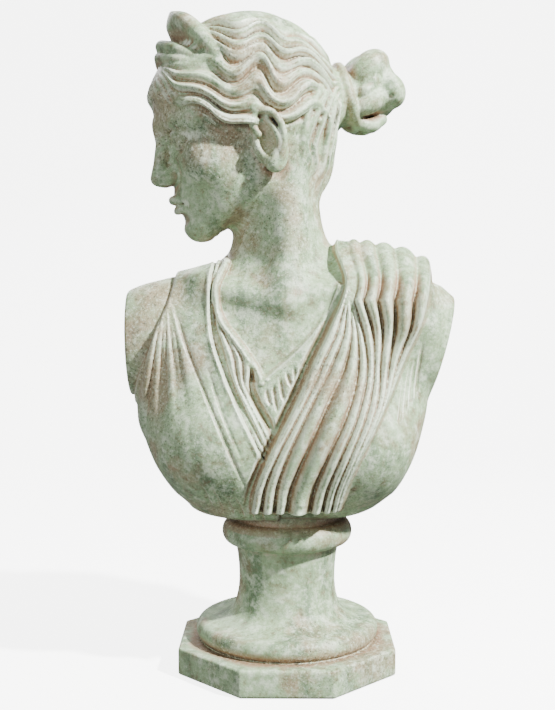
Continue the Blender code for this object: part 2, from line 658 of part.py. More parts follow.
BODY = ((150, 50, 32, 38), (160, 66, 44, 46), (172, 90, 60, 58), (186, 108, 71, 67), (213, 130, 80, 75),
        (243, 145, 84, 78), (268, 151, 82, 80), (300, 148, 76, 78), (340, 138, 66, 74), (380, 112, 54, 64),
        (408, 72, 40, 48), (424, 44, 28, 36), (452, 26, 20, 26), (484, 18, 14, 18), (520, 18, 14, 18))


def loft(stations, power):
    """A body from its half width, front and back depth at each height."""
    zs, wide, front, back = (np.array(c, float) for c in zip(*stations))

    def share(p, lift):
        z = p[:, 2] + lift
        deep = np.where(p[:, 1] < 0, smooth_curve(z, zs, front), smooth_curve(z, zs, back))
        across = smooth_curve(z, zs, wide)
        a, b = np.abs(p[:, 0]) / across, np.abs(p[:, 1]) / deep
        total = np.maximum((a**power + b**power) ** (1 / power), 1e-3)
        slope = np.hypot((a / total) ** (power - 1) / across, (b / total) ** (power - 1) / deep)
        return total, slope

    def distance(p):
        here, slope = share(p, 0)
        rise = share(p, 1)[0] - here
        d = (here - 1) / np.hypot(slope, rise)
        return np.maximum(np.maximum(d, zs[0] - p[:, 2]), p[:, 2] - zs[-1]).astype(np.float32)

    return shape((-wide.max(), -front.max(), zs[0]), (wide.max(), back.max(), zs[-1]), distance)


def straps(points, reach):
    """The mantle's rolls over the shoulder."""
    cloth = Clay(points, reach)
    cloth.add(roll([(58, -6, 418), (104, -6, 412), (136, -6, 398)], [20, 22, 18]), 8)
    cloth.add(roll([(66, -29, 376), (104, -28, 370), (138, -25, 356)], 17), 14)
    for x, z in STRAP_TOPS:
        strap = [(x + 4, -42, z - 66), (x + 2, -36, z - 38), (x, -12, z - 17), (x - 1, 18, z - 20),
                 (x - 3, 48, z - 54)]
        cloth.add(roll(curve(strap, 13), np.interp(range(13), (0, 4, 8, 12), (5, 8, 9.5, 8))), 15)
    return cloth.depth


def torso(points, reach):
    clay = Clay(points, reach)
    p = points
    mirrored = points.copy()
    mirrored[:, 0] = np.abs(mirrored[:, 0])
    clay.at = mirrored
    clay.add(loft(BODY, 2.5))
    clay.add(egg((76, -50, 240), (46, 40, 44)), 30)
    clay.add(egg((140, 2, 342), (78, 48, 57)), 14)
    clay.add(roll([(10, 10, 398), (80, 8, 386), (130, 4, 366)], [36, 36, 38]), 26)
    clay.add(roll([(0, 18, 425), (60, 14, 400)], [30, 20]), 26)
    clay.at = points
    clay.add(roll([(0, 12, 375), (-8, 12, 430), (-12, 10, 480), (-24, 6, 545)], [54, 47.5, 46, 50]), 30)
    clay.cut(egg((-5, -70, 396), (10, 12, 12)), 14)
    clay.add(roll(curve([(-20, -48, 390), (-50, -46, 396), (-84, -32, 402)], 9), 6), 22)
    clay.add(roll([(8, -48, 390), (50, -42, 400)], [6, 6]), 22)
    clay.add(roll([(-4, -52, 390), (2, -40, 440), (2, -34, 500), (2, -28, 545)], [8, 12, 14, 12]), 26)
    for normal, offset in (((-1, 0, -0.03), 155), ((0.968, 0, -0.25), ARM_CUT)):
        n = np.array(normal, np.float32)
        clay.depth = -union(-clay.depth, -(p @ n - offset), 3)
    return clay.depth


def figure_distance(points, reach):
    """Distance to the figure, down to its seat on the socle."""
    depth = np.full(len(points), FAR, np.float32)
    z = points[:, 2]
    i = np.flatnonzero((z > 130 - reach) & (z < 577 + reach))
    body_at = points[i] - np.array((0, 0, BODY_LIFT), np.float32)
    body = union(torso(body_at, reach + 30), straps(body_at, reach + 30), 12)
    near = np.flatnonzero((np.abs(body) < 30 + reach) & (body_at[:, 2] < 470))
    q = body_at[near]
    arm_cut = ARM_CUT - 0.968 * q[:, 0] + 0.25 * q[:, 2]
    body[near] -= front_drapery(q) * smooth_step(-q[:, 1], -10, 20) * smooth_step(arm_cut, -3, 15)
    body[near] -= back_drapery(q) * smooth_step(q[:, 1], -4, 20) * smooth_step(arm_cut, -3, 15)
    body = -union(-body, -(SEAT - 4 - body_at[:, 2]), 6)
    depth[i] = 0.7 * body
    local = (points - np.array(HEAD_AT, np.float32)) @ AXES.T
    i = np.flatnonzero((z > 400 - reach) & (norm(local + np.array((35, 0, 0), np.float32)) < 190 + reach))
    depth[i] = union(depth[i], head(local[i], reach), 14)
    return depth


def socle_profile():
    """Radius and height down the outer side of the turned socle, from the axis at its top."""
    top = SOCLE_HEIGHT + SEAT_DEPTH
    collar_top = SOCLE_HEIGHT - 0.002
    collar_low = collar_top - COLLAR_THICKNESS
    foot_top = PLINTH_HEIGHT + FOOT_THICKNESS
    points = [(0, top), (NECK_RADIUS, top)]
    for a in np.linspace(0, math.pi, 7):
        share = (1 - math.cos(a)) / 2
        inner = NECK_RADIUS + (STEM_TOP_RADIUS - NECK_RADIUS) * share
        across = inner + (COLLAR_RADIUS - inner) * math.sin(a) ** 0.8
        points.append((across, collar_top - COLLAR_THICKNESS * share))
    stem_low = foot_top + COVE_HEIGHT
    waist = stem_low + 0.4 * (collar_low - stem_low)
    for z in np.linspace(collar_low - 0.003, stem_low, 5):
        end, flare = (collar_low, STEM_TOP_RADIUS) if z > waist else (stem_low, STEM_FOOT_RADIUS)
        points.append((STEM_RADIUS + (flare - STEM_RADIUS) * abs((z - waist) / (end - waist)) ** 2.2, z))
    foot_inner = FOOT_RADIUS - 0.4 * FOOT_THICKNESS
    for a in np.linspace(0, math.pi / 2, 5)[1:]:
        across = foot_inner - (foot_inner - STEM_FOOT_RADIUS) * math.cos(a)
        points.append((across, stem_low - COVE_HEIGHT * math.sin(a)))
    for a in np.linspace(math.pi / 2, -math.pi / 2, 6)[1:]:
        points.append((foot_inner + (FOOT_RADIUS - foot_inner) * math.cos(a),
                       PLINTH_HEIGHT + FOOT_THICKNESS * (1 + math.sin(a)) / 2))
    return points + [(foot_inner, PLINTH_HEIGHT / 2), (0, PLINTH_HEIGHT / 2)]


def add_object(name, mesh, material=None):
    obj = bpy.data.objects.new(name, mesh)
    bpy.context.scene.collection.objects.link(obj)
    if material:
        mesh.materials.append(material)
    return obj


def add_union(obj, other):
    """Joins a hidden guide to the object."""
    other.hide_render = True
    other.display_type = "WIRE"
    join = obj.modifiers.new(other.name, "BOOLEAN")
    join.operation = "UNION"
    join.solver = "EXACT"
    join.object = other


def stone():
    material = bpy.data.materials.new("weathered cast stone")
    material.use_nodes = True
    shader = material.node_tree.nodes["Principled BSDF"]
    shader.inputs["Base Color"].default_value = STONE
    shader.inputs["Roughness"].default_value = 0.8
    shader.inputs["Metallic"].default_value = 0.0
    return material


def turned_socle(name, material):
    points = socle_profile()
    mesh = bpy.data.meshes.new(name)
    mesh.from_pydata([(r, 0, z) for r, z in points], [(n, n + 1) for n in range(len(points) - 1)], [])
    obj = add_object(name, mesh, material)
    turn = obj.modifiers.new("turn", "SCREW")
    turn.axis = "Z"
    turn.angle = 2 * math.pi
    turn.steps = TURNED_STEPS
    turn.render_steps = TURNED_STEPS
    turn.use_merge_vertices = True
    turn.merge_threshold = 0.00001
    return obj


def octagonal_plinth():
    shape = bmesh.new()
    corner = PLINTH_ACROSS / 2 / math.cos(math.pi / 8)
    bmesh.ops.create_circle(shape, cap_ends=True, segments=8, radius=corner)
    bmesh.ops.rotate(shape, verts=shape.verts, matrix=Matrix.Rotation(math.pi / 8, 3, "Z"))
    raised = bmesh.ops.extrude_face_region(shape, geom=shape.faces[:])
    tops = [v for v in raised["geom"] if isinstance(v, bmesh.types.BMVert)]
    bmesh.ops.translate(shape, verts=tops, vec=(0, 0, PLINTH_HEIGHT))
    bmesh.ops.recalc_face_normals(shape, faces=shape.faces)
    mesh = bpy.data.meshes.new("plinth")
    shape.to_mesh(mesh)
    shape.free()
    obj = add_object("plinth", mesh)
    edge = obj.modifiers.new("edge", "BEVEL")
    edge.width = PLINTH_EDGE
    edge.segments = 2
    edge.limit_method = "ANGLE"
    return obj


def carved_figure():
    points, faces = skin(figure_distance, LOW, HIGH, FIGURE_CELL, 3)
    points = settle(relaxed(points, faces, 1), faces, figure_distance, 3 * FIGURE_CELL)
    unit = FIGURE_HEIGHT / 540
    points = (points - np.array((0, 0, SEAT))) * unit + np.array((0, 0, SOCLE_HEIGHT))
    mesh = bpy.data.meshes.new("figure")
    mesh.from_pydata(points.tolist(), [], faces.tolist())
    obj = add_object("figure", mesh)
    even = obj.modifiers.new("even", "REMESH")
    even.mode = "VOXEL"
    even.voxel_size = FIGURE_VOXEL
    even.adaptivity = 0
    fewer = obj.modifiers.new("facets", "DECIMATE")
    fewer.ratio = FIGURE_FACETS
    fewer.use_collapse_triangulate = True
    return obj


for old in list(bpy.data.objects):
    bpy.data.objects.remove(old, do_unlink=True)
bust = turned_socle("bust", stone())
add_union(bust, octagonal_plinth())
add_union(bust, carved_figure())
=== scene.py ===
import math
from concurrent.futures import ThreadPoolExecutor

import bpy
import numpy as np
from mathutils import Euler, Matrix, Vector


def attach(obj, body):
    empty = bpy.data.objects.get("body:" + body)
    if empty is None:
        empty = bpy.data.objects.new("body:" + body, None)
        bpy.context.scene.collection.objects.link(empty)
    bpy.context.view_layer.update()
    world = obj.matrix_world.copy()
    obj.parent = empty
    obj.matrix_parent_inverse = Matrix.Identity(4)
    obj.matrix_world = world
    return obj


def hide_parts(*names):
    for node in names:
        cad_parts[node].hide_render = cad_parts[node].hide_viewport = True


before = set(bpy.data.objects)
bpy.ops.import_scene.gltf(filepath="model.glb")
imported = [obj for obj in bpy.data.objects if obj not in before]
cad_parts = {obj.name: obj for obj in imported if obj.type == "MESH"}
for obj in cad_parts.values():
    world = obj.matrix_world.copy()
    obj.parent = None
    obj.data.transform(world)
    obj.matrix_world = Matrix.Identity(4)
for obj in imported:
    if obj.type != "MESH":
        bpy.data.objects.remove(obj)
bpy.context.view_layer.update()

# Sizes in millimetres, the same as the turned and octagonal solids of the CAD model
PLINTH_ACROSS, PLINTH_HEIGHT, PLINTH_EDGE = 230, 29, 2.5
FOOT_RADIUS, FOOT_THICKNESS, COVE_HEIGHT = 99, 21, 20
STEM_FOOT_RADIUS, STEM_RADIUS, STEM_TOP_RADIUS = 55.5, 52, 56
COLLAR_RADIUS, COLLAR_THICKNESS, NECK_RADIUS, SEAT_DEPTH = 70.5, 27, 57, 20
SOCLE_HEIGHT = 162

FIGURE_CELL = 1.6
SOCLE_CELL = 2.0
# the box, in millimetres, that is searched for the socle's surface
SOCLE_LOW, SOCLE_HIGH = (-124, -124, -6), (124, 124, 190)
FIGURE_TRIANGLES = 194000
SOCLE_TRIANGLES = 60000
MM = 0.001

FAR = 1000.0


def shape(low, high, distance):
    return np.asarray(low, np.float32), np.asarray(high, np.float32), distance


def norm(v):
    return np.sqrt(np.einsum("ij,ij->i", v, v))


def turned(degrees):
    """Matrix whose rows are the turned axes, for a turn about X, then Y, then Z."""
    x, y, z = (math.radians(d) for d in degrees)
    cx, sx, cy, sy, cz, sz = math.cos(x), math.sin(x), math.cos(y), math.sin(y), math.cos(z), math.sin(z)
    rx = np.array([[1, 0, 0], [0, cx, -sx], [0, sx, cx]])
    ry = np.array([[cy, 0, sy], [0, 1, 0], [-sy, 0, cy]])
    rz = np.array([[cz, -sz, 0], [sz, cz, 0], [0, 0, 1]])
    return (rz @ ry @ rx).T.astype(np.float32)


def egg(centre, radii, turn=None):
    centre = np.array(centre, np.float32)
    radii = np.array(radii, np.float32)
    rows = None if turn is None else turned(turn)

    def distance(p):
        q = p - centre
        if rows is not None:
            q = q @ rows.T
        a = norm(q / radii)
        b = norm(q / radii**2)
        return a * (a - 1) / np.maximum(b, 1e-6)

    reach = radii if turn is None else np.full(3, radii.max())
    return shape(centre - reach, centre + reach, distance)


def roll(points, radii):
    points = np.array(points, np.float32)
    radii = np.broadcast_to(np.array(radii, np.float32), (len(points),))

    def distance(p):
        best = np.full(len(p), FAR, np.float32)
        for a, b, ra, rb in zip(points, points[1:], radii, radii[1:]):
            along = b - a
            t = np.clip((p - a) @ along / max(float(along @ along), 1e-9), 0, 1)
            best = np.minimum(best, norm(p - a - t[:, None] * along) - (ra + t * (rb - ra)))
        return best

    return shape(points.min(0) - radii.max(), points.max(0) + radii.max(), distance)


def union(a, b, blend):
    if not blend:
        return np.minimum(a, b)
    h = np.maximum(blend - np.abs(a - b), 0) / blend
    return np.minimum(a, b) - h * h * blend / 4


def smooth_step(x, low, high):
    t = np.clip((x - low) / (high - low), 0, 1)
    return t * t * (3 - 2 * t)


def hump(d):
    """A rounded ridge: 1 on its line and 0 from 1 outwards, where it ends in a soft crease."""
    return np.maximum(1 - d * d, 0)


CREASE_RADIUS = 1.1


def fold(across, half_width):
    """A fold's shape across: 1 on its crest and 0 in the rounded crease at each side."""
    soft = 2 * CREASE_RADIUS / np.maximum(half_width, CREASE_RADIUS)
    return (np.sqrt(hump(across) ** 2 + soft * soft) - soft) / (np.sqrt(1 + soft * soft) - soft)


def curve(points, count):
    """Points along a Catmull-Rom curve through the given ones."""
    p = np.array(points, np.float64)
    ends = np.vstack([2 * p[0] - p[1], p, 2 * p[-1] - p[-2]])
    out = []
    for s in np.linspace(0, len(p) - 1, count):
        i = min(int(s), len(p) - 2)
        t = s - i
        a, b, c, d = ends[i:i + 4]
        bend = (2 * a - 5 * b + 4 * c - d) * t**2 + (3 * b - a - 3 * c + d) * t**3
        out.append((2 * b + (c - a) * t + bend) / 2)
    return np.array(out)


class Clay:
    """Points of space with their distance to the modelled surface, negative inside."""

    def __init__(self, points, reach):
        self.at = points
        self.depth = np.full(len(points), FAR, np.float32)
        self.reach = reach

    def near(self, low, high, margin):
        at = self.at
        ok = np.ones(len(at), bool)
        for k in range(at.shape[1]):
            ok &= (at[:, k] > low[k] - margin) & (at[:, k] < high[k] + margin)
        return np.flatnonzero(ok)

    def add(self, what, blend=0.0):
        low, high, distance = what
        i = self.near(low, high, blend + self.reach)
        if len(i):
            self.depth[i] = union(self.depth[i], distance(self.at[i]), blend)

    def cut(self, what, blend=0.0):
        low, high, distance = what
        i = self.near(low, high, blend + self.reach)
        if len(i):
            self.depth[i] = -union(-self.depth[i], distance(self.at[i]), blend)


def ridge_heights(at, strokes):
    """The greatest height over each point of the strokes: ridges with a rounded top."""
    best = np.zeros(len(at), np.float32)
    for points, half_widths, heights, power in strokes:
        points = np.asarray(points, np.float32)
        reach = float(np.max(half_widths))
        low, high = points.min(0) - reach, points.max(0) + reach
        ok = np.ones(len(at), bool)
        for k in range(at.shape[1]):
            ok &= (at[:, k] > low[k]) & (at[:, k] < high[k])
        i = np.flatnonzero(ok)
        if not len(i):
            continue
        p = at[i]
        found = np.zeros(len(i), np.float32)
        for n in range(len(points) - 1):
            a, b = points[n], points[n + 1]
            along = b - a
            t = np.clip((p - a) @ along / max(float(along @ along), 1e-9), 0, 1)
            d = norm(p - a - t[:, None] * along)
            w = half_widths[n] + t * (half_widths[n + 1] - half_widths[n])
            h = heights[n] + t * (heights[n + 1] - heights[n])
            found = np.maximum(found, h * np.maximum(1 - (d / np.maximum(w, 1e-3)) ** 2, 0) ** power)
        best[i] = np.maximum(best[i], found)
    return best


OFFSETS = np.array([(i, j, k) for k in (0, 1) for j in (0, 1) for i in (0, 1)])


def skin(distance, low, high, cell, levels, slack=2.2, margin=5.0):
    """Vertices and quads of the surface where distance(points, reach) is zero."""
    low = np.array(low, float)
    size = cell * 2**levels
    counts = np.ceil((np.array(high) - low) / size).astype(int)
    cells = np.stack(np.meshgrid(*(np.arange(n) for n in counts), indexing="ij"), -1).reshape(-1, 3)
    for level in range(levels + 1):
        reach = size * 0.87 * slack + margin
        d = distance((low + (cells + 0.5) * size).astype(np.float32), reach)
        cells = cells[np.abs(d) < reach]
        if level < levels:
            cells = (cells[:, None] * 2 + OFFSETS).reshape(-1, 3)
            size /= 2
    span = (counts * 2**levels + 2).astype(np.int64)

    def key(c):
        return (c[..., 0] * span[1] + c[..., 1]) * span[2] + c[..., 2]

    corner_keys = key(cells[:, None] + OFFSETS)
    unique, inverse = np.unique(corner_keys, return_inverse=True)
    inverse = inverse.reshape(corner_keys.shape)
    corners = np.stack([unique // (span[1] * span[2]), unique // span[2] % span[1], unique % span[2]], 1)
    value = distance((low + corners * size).astype(np.float32), 3 * cell)[inverse]
    value[value == 0] = 1e-6
    inside = value < 0
    active = inside.any(1) & ~inside.all(1)
    cells, value, inside = cells[active], value[active], inside[active]
    order = np.argsort(key(cells))
    cells, value, inside = cells[order], value[order], inside[order]
    keys = key(cells)
    total = np.zeros((len(cells), 3))
    count = np.zeros(len(cells))
    for a in range(8):
        for step in (1, 2, 4):
            if a & step:
                continue
            b = a | step
            cross = inside[:, a] != inside[:, b]
            t = value[cross, a] / (value[cross, a] - value[cross, b])
            total[cross] += OFFSETS[a] + t[:, None] * (OFFSETS[b] - OFFSETS[a])
            count[cross] += 1
    points = low + (cells + total / count[:, None]) * size
    faces = []
    for axis in range(3):
        u, v = np.eye(3, dtype=int)[(axis + 1) % 3], np.eye(3, dtype=int)[(axis + 2) % 3]
        cross = np.flatnonzero(inside[:, 0] != inside[:, 1 << axis])
        c = cells[cross]
        quad = []
        for shift in (0 * u, -u, -u - v, -v):
            k = key(c + shift)
            found = np.clip(np.searchsorted(keys, k), 0, len(keys) - 1)
            quad.append(np.where(keys[found] == k, found, -1))
        quad = np.stack(quad, 1)
        flip = ~inside[cross, 0]
        quad[flip] = quad[flip][:, ::-1]
        faces.append(quad)
    faces = np.vstack(faces)
    return largest_piece(points, faces[(faces >= 0).all(1)])


def largest_piece(points, faces):
    """Drops sealed pockets and crumbs from the mesh."""
    label = np.arange(len(points))
    while True:
        least = np.repeat(label[faces].min(1), 4)
        found = label.copy()
        np.minimum.at(found, faces.ravel(), least)
        found = found[found]
        if (found == label).all():
            break
        label = found
    main = np.bincount(label[faces[:, 0]]).argmax()
    faces = faces[label[faces[:, 0]] == main]
    used, faces = np.unique(faces, return_inverse=True)
    return points[used], faces.reshape(-1, 4)


def normals(points, faces):
    """Outward normal at each point, from the quads round it."""
    across = np.cross(points[faces[:, 2]] - points[faces[:, 0]], points[faces[:, 3]] - points[faces[:, 1]])
    near = faces.ravel()
    total = np.stack([np.bincount(near, np.repeat(c, 4), len(points)) for c in across.T], 1)
    return total / np.maximum(norm(total), 1e-9)[:, None]


def settle(points, faces, distance, reach, rounds=2):
    """Moves the points along their normals onto the surface."""
    step = 0.4
    for _ in range(rounds):
        out = normals(points, faces)
        d = distance(points.astype(np.float32), reach)
        slope = (distance((points + step * out).astype(np.float32), reach) - d) / step
        points = points - out * np.clip(d / np.maximum(slope, 0.35), -0.7, 0.7)[:, None]
    return points


def relaxed(points, faces, rounds, amount=0.5):
    """Evens out the points by moving each towards the mean of its neighbours."""
    near = np.concatenate([faces, faces]).ravel()
    far = np.concatenate([np.roll(faces, 1, 1), np.roll(faces, -1, 1)]).ravel()
    count = np.bincount(near, minlength=len(points))[:, None]
    for _ in range(rounds):
        total = np.stack([np.bincount(near, c[far], len(points)) for c in points.T], 1)
        points = points + amount * (total / count - points)
    return points


# The figure is laid out in its own units, of which its height has 540, with its seat at Z 162:
# X to the viewer's right, -Y to the front, Z up.
SEAT = 162
# how far out, along its own tilted direction, the flat cut through the arm on the viewer's right lies
ARM_CUT = 75.5
BODY_LIFT = 7
LOW, HIGH = (-200, -130, 150), (200, 130, 712)
HEAD_AT = (-44, 5, 570)
HEAD_YAW = 74
HEAD_PITCH = 18


def head_axes():
    yaw, pitch = math.radians(HEAD_YAW), math.radians(HEAD_PITCH)
    level = math.cos(pitch)
    ahead = np.array((-math.sin(yaw) * level, -math.cos(yaw) * level, -math.sin(pitch)))
    left = np.array((math.cos(yaw), -math.sin(yaw), 0))
    return np.stack([ahead, left, np.cross(ahead, left)]).astype(np.float32)


AXES = head_axes()
SKULL_AT = (-12, 0, 30)
HAIR = (97, 79, 96)


def face(clay):
    clay.add(egg((-10, 0, 40), (90, 70, 80)))
    clay.add(egg((44, 0, 52), (42, 56, 46)), 18)
    whole = clay.at
    clay.at = clay.at + np.array((0, 0, 5), np.float32)
    clay.add(egg((34, 0, 0), (50, 56, 80)), 20)
    clay.add(roll([(76, 6, -68), (50, 30, -56), (12, 50, -40), (0, 58, -5)], [11, 12, 13, 12]), 26)
    clay.add(egg((77, 0, -70), (15, 22, 16)), 18)
    clay.add(egg((54, 38, -8), (26, 20, 24)), 22)
    clay.add(egg((74, 0, -38), (20, 28, 24)), 14)
    clay.add(roll([(84, 0, 38), (80, 16, 40), (72, 34, 41), (56, 52, 36)], [6, 6.5, 6.5, 6]), 16)
    clay.cut(egg((88, 30, 19), (12, 18, 11)), 12)
    clay.cut(egg((87, 18, 19), (7, 5, 9)), 6)
    clay.add(roll([(83, 0, 42), (88, 0, 22), (98, 0, 2), (105, 0, -10)], [9, 8.5, 8, 8]), 8)
    clay.add(roll([(78, 0, -4), (97, 0, -14)], [12, 8]), 6)
    clay.add(egg((96, 9, -14), (9, 6, 6.5)), 6)
    clay.add(egg((70, 31, 21), (14, 14, 14)), 1)
    upper_lid = [(77, 17, 19), (82, 24, 27), (80.5, 34, 28.5), (73, 44, 24), (69, 48, 19)]
    lower_lid = [(77, 17, 18), (81, 25, 12.5), (79.5, 34, 12), (72, 44, 15), (69, 48, 18)]
    clay.add(roll(curve(upper_lid, 12), 1.9), 2)
    clay.add(roll(curve(lower_lid, 12), 1.5), 2)
    clay.cut(egg((99, 6, -21.5), (6.5, 3, 4.5)), 2)
    clay.cut(roll([(96, 0, -26), (97.5, 0, -33)], [2.2, 2.6]), 4)
    clay.add(roll([(83, 18, -42.5), (90.5, 10, -38.5), (96, 4, -36), (96.5, 0, -37)], [2, 4.2, 4.8, 4.6]), 3)
    clay.add(roll([(83, 17, -44), (89.5, 9, -48), (94, 0, -49)], [2, 5, 6]), 3)
    clay.cut(roll([(86, 19, -42.4), (93, 11, -42.4), (99, 4, -41.6), (100, 0, -42.6)], 0.9), 1.8)
    clay.cut(egg((95, 0, -59), (8, 16, 5)), 8)
    clay.at = whole


def ear(clay):
    rows = turned((0, 0, -18))
    base = np.array((-2, 75, -13), np.float32)

    local = Clay((clay.at - base) @ rows.T, clay.reach)
    local.add(egg((0, 0, -2), (17, 7, 30)))
    local.cut(egg((3, 9, 2), (12, 9, 21)), 2.5)
    outer = [(9, 4, 8), (12, 5, 20), (4, 7, 30), (-9, 8, 27), (-16, 8, 12), (-14, 7, -6), (-6, 6, -20)]
    local.add(roll(curve(outer, 16), 3.5), 2)
    local.add(roll(curve([(-4, 5, 20), (-9, 7, 6), (-8, 7, -8), (-1, 6, -14)], 9), 2.8), 3)
    local.add(egg((2, 4, -24), (8, 6, 9)), 5)
    local.add(egg((13, 4, -4), (4, 4, 6)), 4)
    local.cut(egg((5, 4, -3), (6, 5, 8)), 2)
    return local


PARTING_TILT, KNOT_TILT = 38, 11
LOCK_STEP = 12
LOCK_HEIGHT, LOCK_HALF_WIDTH = 8.5, 9
WAVE_LENGTH, WAVE_SWING = 38, 4.4


def hair_relief(p):
    """Height of the waving locks, combed from the parting over the ear to the knot."""
    away = p - np.array(SKULL_AT, np.float32)
    away /= np.maximum(norm(away), 1)[:, None]
    tilt = np.full(len(p), math.radians(25), np.float32)
    for _ in range(4):
        back = np.arccos(np.clip(away[:, 0] * np.cos(tilt) + away[:, 2] * np.sin(tilt), -1, 1))
        tilt = np.radians(PARTING_TILT + (KNOT_TILT - PARTING_TILT) * smooth_step(back, 0, math.pi))
    up = np.degrees(np.arctan2(away[:, 2] * np.cos(tilt) - away[:, 0] * np.sin(tilt), away[:, 1]))
    back = np.degrees(back)
    spread = np.maximum(np.sin(np.radians(back)), 0.15)
    half_width = LOCK_HALF_WIDTH * spread
    calm = 1 - 0.85 * smooth_step(up, 50, 72)
    turn = back * 360 / WAVE_LENGTH + 1.2 * up + 45 * np.sin(np.radians(2.3 * up + 1.4 * back))
    turn += 30 * np.sin(np.radians(4.1 * back - 1.3 * up + 50))
    swing = WAVE_SWING * np.sin(np.radians(turn))
    swing *= 1 + 0.55 * np.sin(np.radians(3.1 * up + 1.9 * back + 200))
    swing *= smooth_step(back, 12, 40) * (1 - smooth_step(back, 148, 172))
    uneven = 3.2 * np.sin(np.radians(2.1 * back + 1.3 * up + 90))
    uneven += 3 * np.sin(np.radians(6 * up + 1.1 * back + 40))
    place = (up - swing * calm / spread + uneven) / LOCK_STEP
    lock = np.floor(place + 0.5)
    across = 2 * (place - lock)
    top = LOCK_HEIGHT * (0.6 + 0.4 * smooth_step(back, 20, 55)) * (0.25 + 0.75 * calm)
    top *= 0.9 + 0.32 * np.sin(1.9 * lock + np.radians(4.3 * back)) - 0.5 * smooth_step(back, 150, 170)
    top *= 1 - smooth_step(-up, 12, 30) * smooth_step(back, 84, 104)
    top = np.minimum(top, 1.1 * half_width)
    strand = np.exp(-(((np.abs(across + 0.2 * np.sin(2.3 * lock)) - 0.36) / 0.11) ** 2))
    return top * (fold(across, half_width) - 0.16 * calm * strand * hump(across))


NAPE_LOCKS = 7


def nape_locks():
    """Locks combed up from the nape to the knot, in side view."""
    locks = []
    for n in range(NAPE_LOCKS):
        bend = 5 * math.sin(1.7 * n)
        path = ((-110 + 6 * n, -7 + 4.5 * n), (-107 + 9 * n, -28 + 5.5 * n),
                (-90 + 9 * n + bend, -48 + 4 * n), (-82 + 8 * n, -68 + 4 * n),
                (-62 + 7 * n + bend, -84 + 6 * n), (-50 + 7 * n, -97 + 7 * n))
        swell = 6.4 + 1.5 * math.sin(2.3 * n + 1)
        locks.append((curve(path, 16), np.linspace(swell, 4.5, 16), np.linspace(9 - 0.4 * n, 2.5, 16), 1.2))
    return locks


def hair(clay):
    cap = Clay(clay.at, clay.reach + 10)
    cap.add(egg(SKULL_AT, HAIR))
    cap.add(egg((42, 0, 54), (47, 62, 43)), 10)
    cap.add(egg((-48, 0, -26), (39, 44, 54)), 16)
    p = clay.at
    above = (p - np.array((89, 0, 72), np.float32)) @ np.array((0.732, 0, -0.681), np.float32)
    above = -union(-above, -(14 - p[:, 2]), 14)
    behind = (p - np.array((-16, 74, -20), np.float32)) @ np.array((0.975, 0, -0.224), np.float32)
    cap.depth = -union(-cap.depth, -union(above, behind, 6), 6)
    i = np.flatnonzero(np.abs(cap.depth) < 12 + cap.reach)
    x, y, z = p[i].T
    nape = ridge_heights(p[i][:, [0, 2]], nape_locks()) * smooth_step(y, 22, 44)
    turn = np.degrees(np.arctan2(y, 20 - x)) * 360 / 13 + 1.2 * z
    combed = 3.5 * (0.5 + 0.5 * np.cos(np.radians(turn))) ** 1.2 * (1 - smooth_step(y, 22, 40))
    nape += combed * smooth_step(-x, 20, 40) * smooth_step(-z, 0, 14) * (1 - smooth_step(-z, 70, 95))
    cap.depth[i] -= np.maximum(hair_relief(p[i]), nape)
    clay.depth = union(clay.depth, 0.65 * cap.depth, 2.5)


KNOT_AT = (-152, 0, 9)


def knot(clay):
    x, y, z = KNOT_AT
    clay.add(roll([(-92, 0, 14), (-118, 0, 9), (-134, 0, 8)], [36, 29, 27]), 8)
    clay.add(egg((x - 2, y, z + 2), (28, 30, 35)), 6)
    for side in (1, -1):
        clay.add(egg((x + 3, side * 16, z + 22), (25, 20, 17), (0, 28, 0)), 5)
        clay.add(egg((x - 15, side * 15, z - 7), (16, 19, 20), (0, 10, 0)), 4)
        clay.add(egg((x + 14, side * 22, z - 13), (21, 14, 12), (0, 14, 0)), 4)
        clay.add(egg((x + 12, side * 26, z + 4), (17, 10, 8), (0, 30, 0)), 3)
        crease = [(x + 34, side * 33, z + 12), (x + 4, side * 38, z + 2), (x - 10, side * 36, z + 8)]
        clay.cut(roll(crease, [3, 2.5, 1]), 5)
        clay.cut(egg((x - 7, side * 37, z - 14), (4, 9, 3)), 2)
        crease = [(x + 30, side * 30, z - 24), (x + 6, side * 32, z - 30), (x - 12, side * 24, z - 28)]
        clay.cut(roll(crease, 2), 3)
        under = [(x + 35, side * 12, z - 23), (x + 26, side * 15, z - 33), (x + 15, side * 14, z - 37),
                 (x + 2, side * 10, z - 34)]
        clay.add(roll(curve(under, 10), np.linspace(8, 6.5, 10)), 2)
    clay.add(roll([(x + 15, 14, z - 37), (x + 11, 0, z - 38), (x + 15, -14, z - 37)], 7), 3)
    clay.add(egg((x - 12, 0, z + 27), (17, 18, 15)), 5)
    turn = np.linspace(0, 2 * math.pi, 25)
    ring = np.stack([3 * np.cos(2 * turn) - 118, 29 * np.cos(turn), 9 + 34 * np.sin(turn)], 1)
    clay.add(roll(ring, 5.5), 3)


# crest of the diadem and of the two hair rolls before it, from the middle to the side, with radii
DIADEM = (((34, 0, 127), (29, 22, 120), (24, 40, 104), (19, 56, 83), (16, 66, 64)), (13, 12, 10, 7.5, 3))
ROLLS = ((((58, 0, 113), (52, 25, 105), (40, 43, 90), (28, 57, 75), (21, 65, 66)), (7, 6.5, 5.5, 4, 2)),
         (((63, 0, 102), (58, 26, 95), (46, 45, 84), (33, 59, 72), (22, 67, 63)), (7, 6.5, 5.5, 4, 2)))


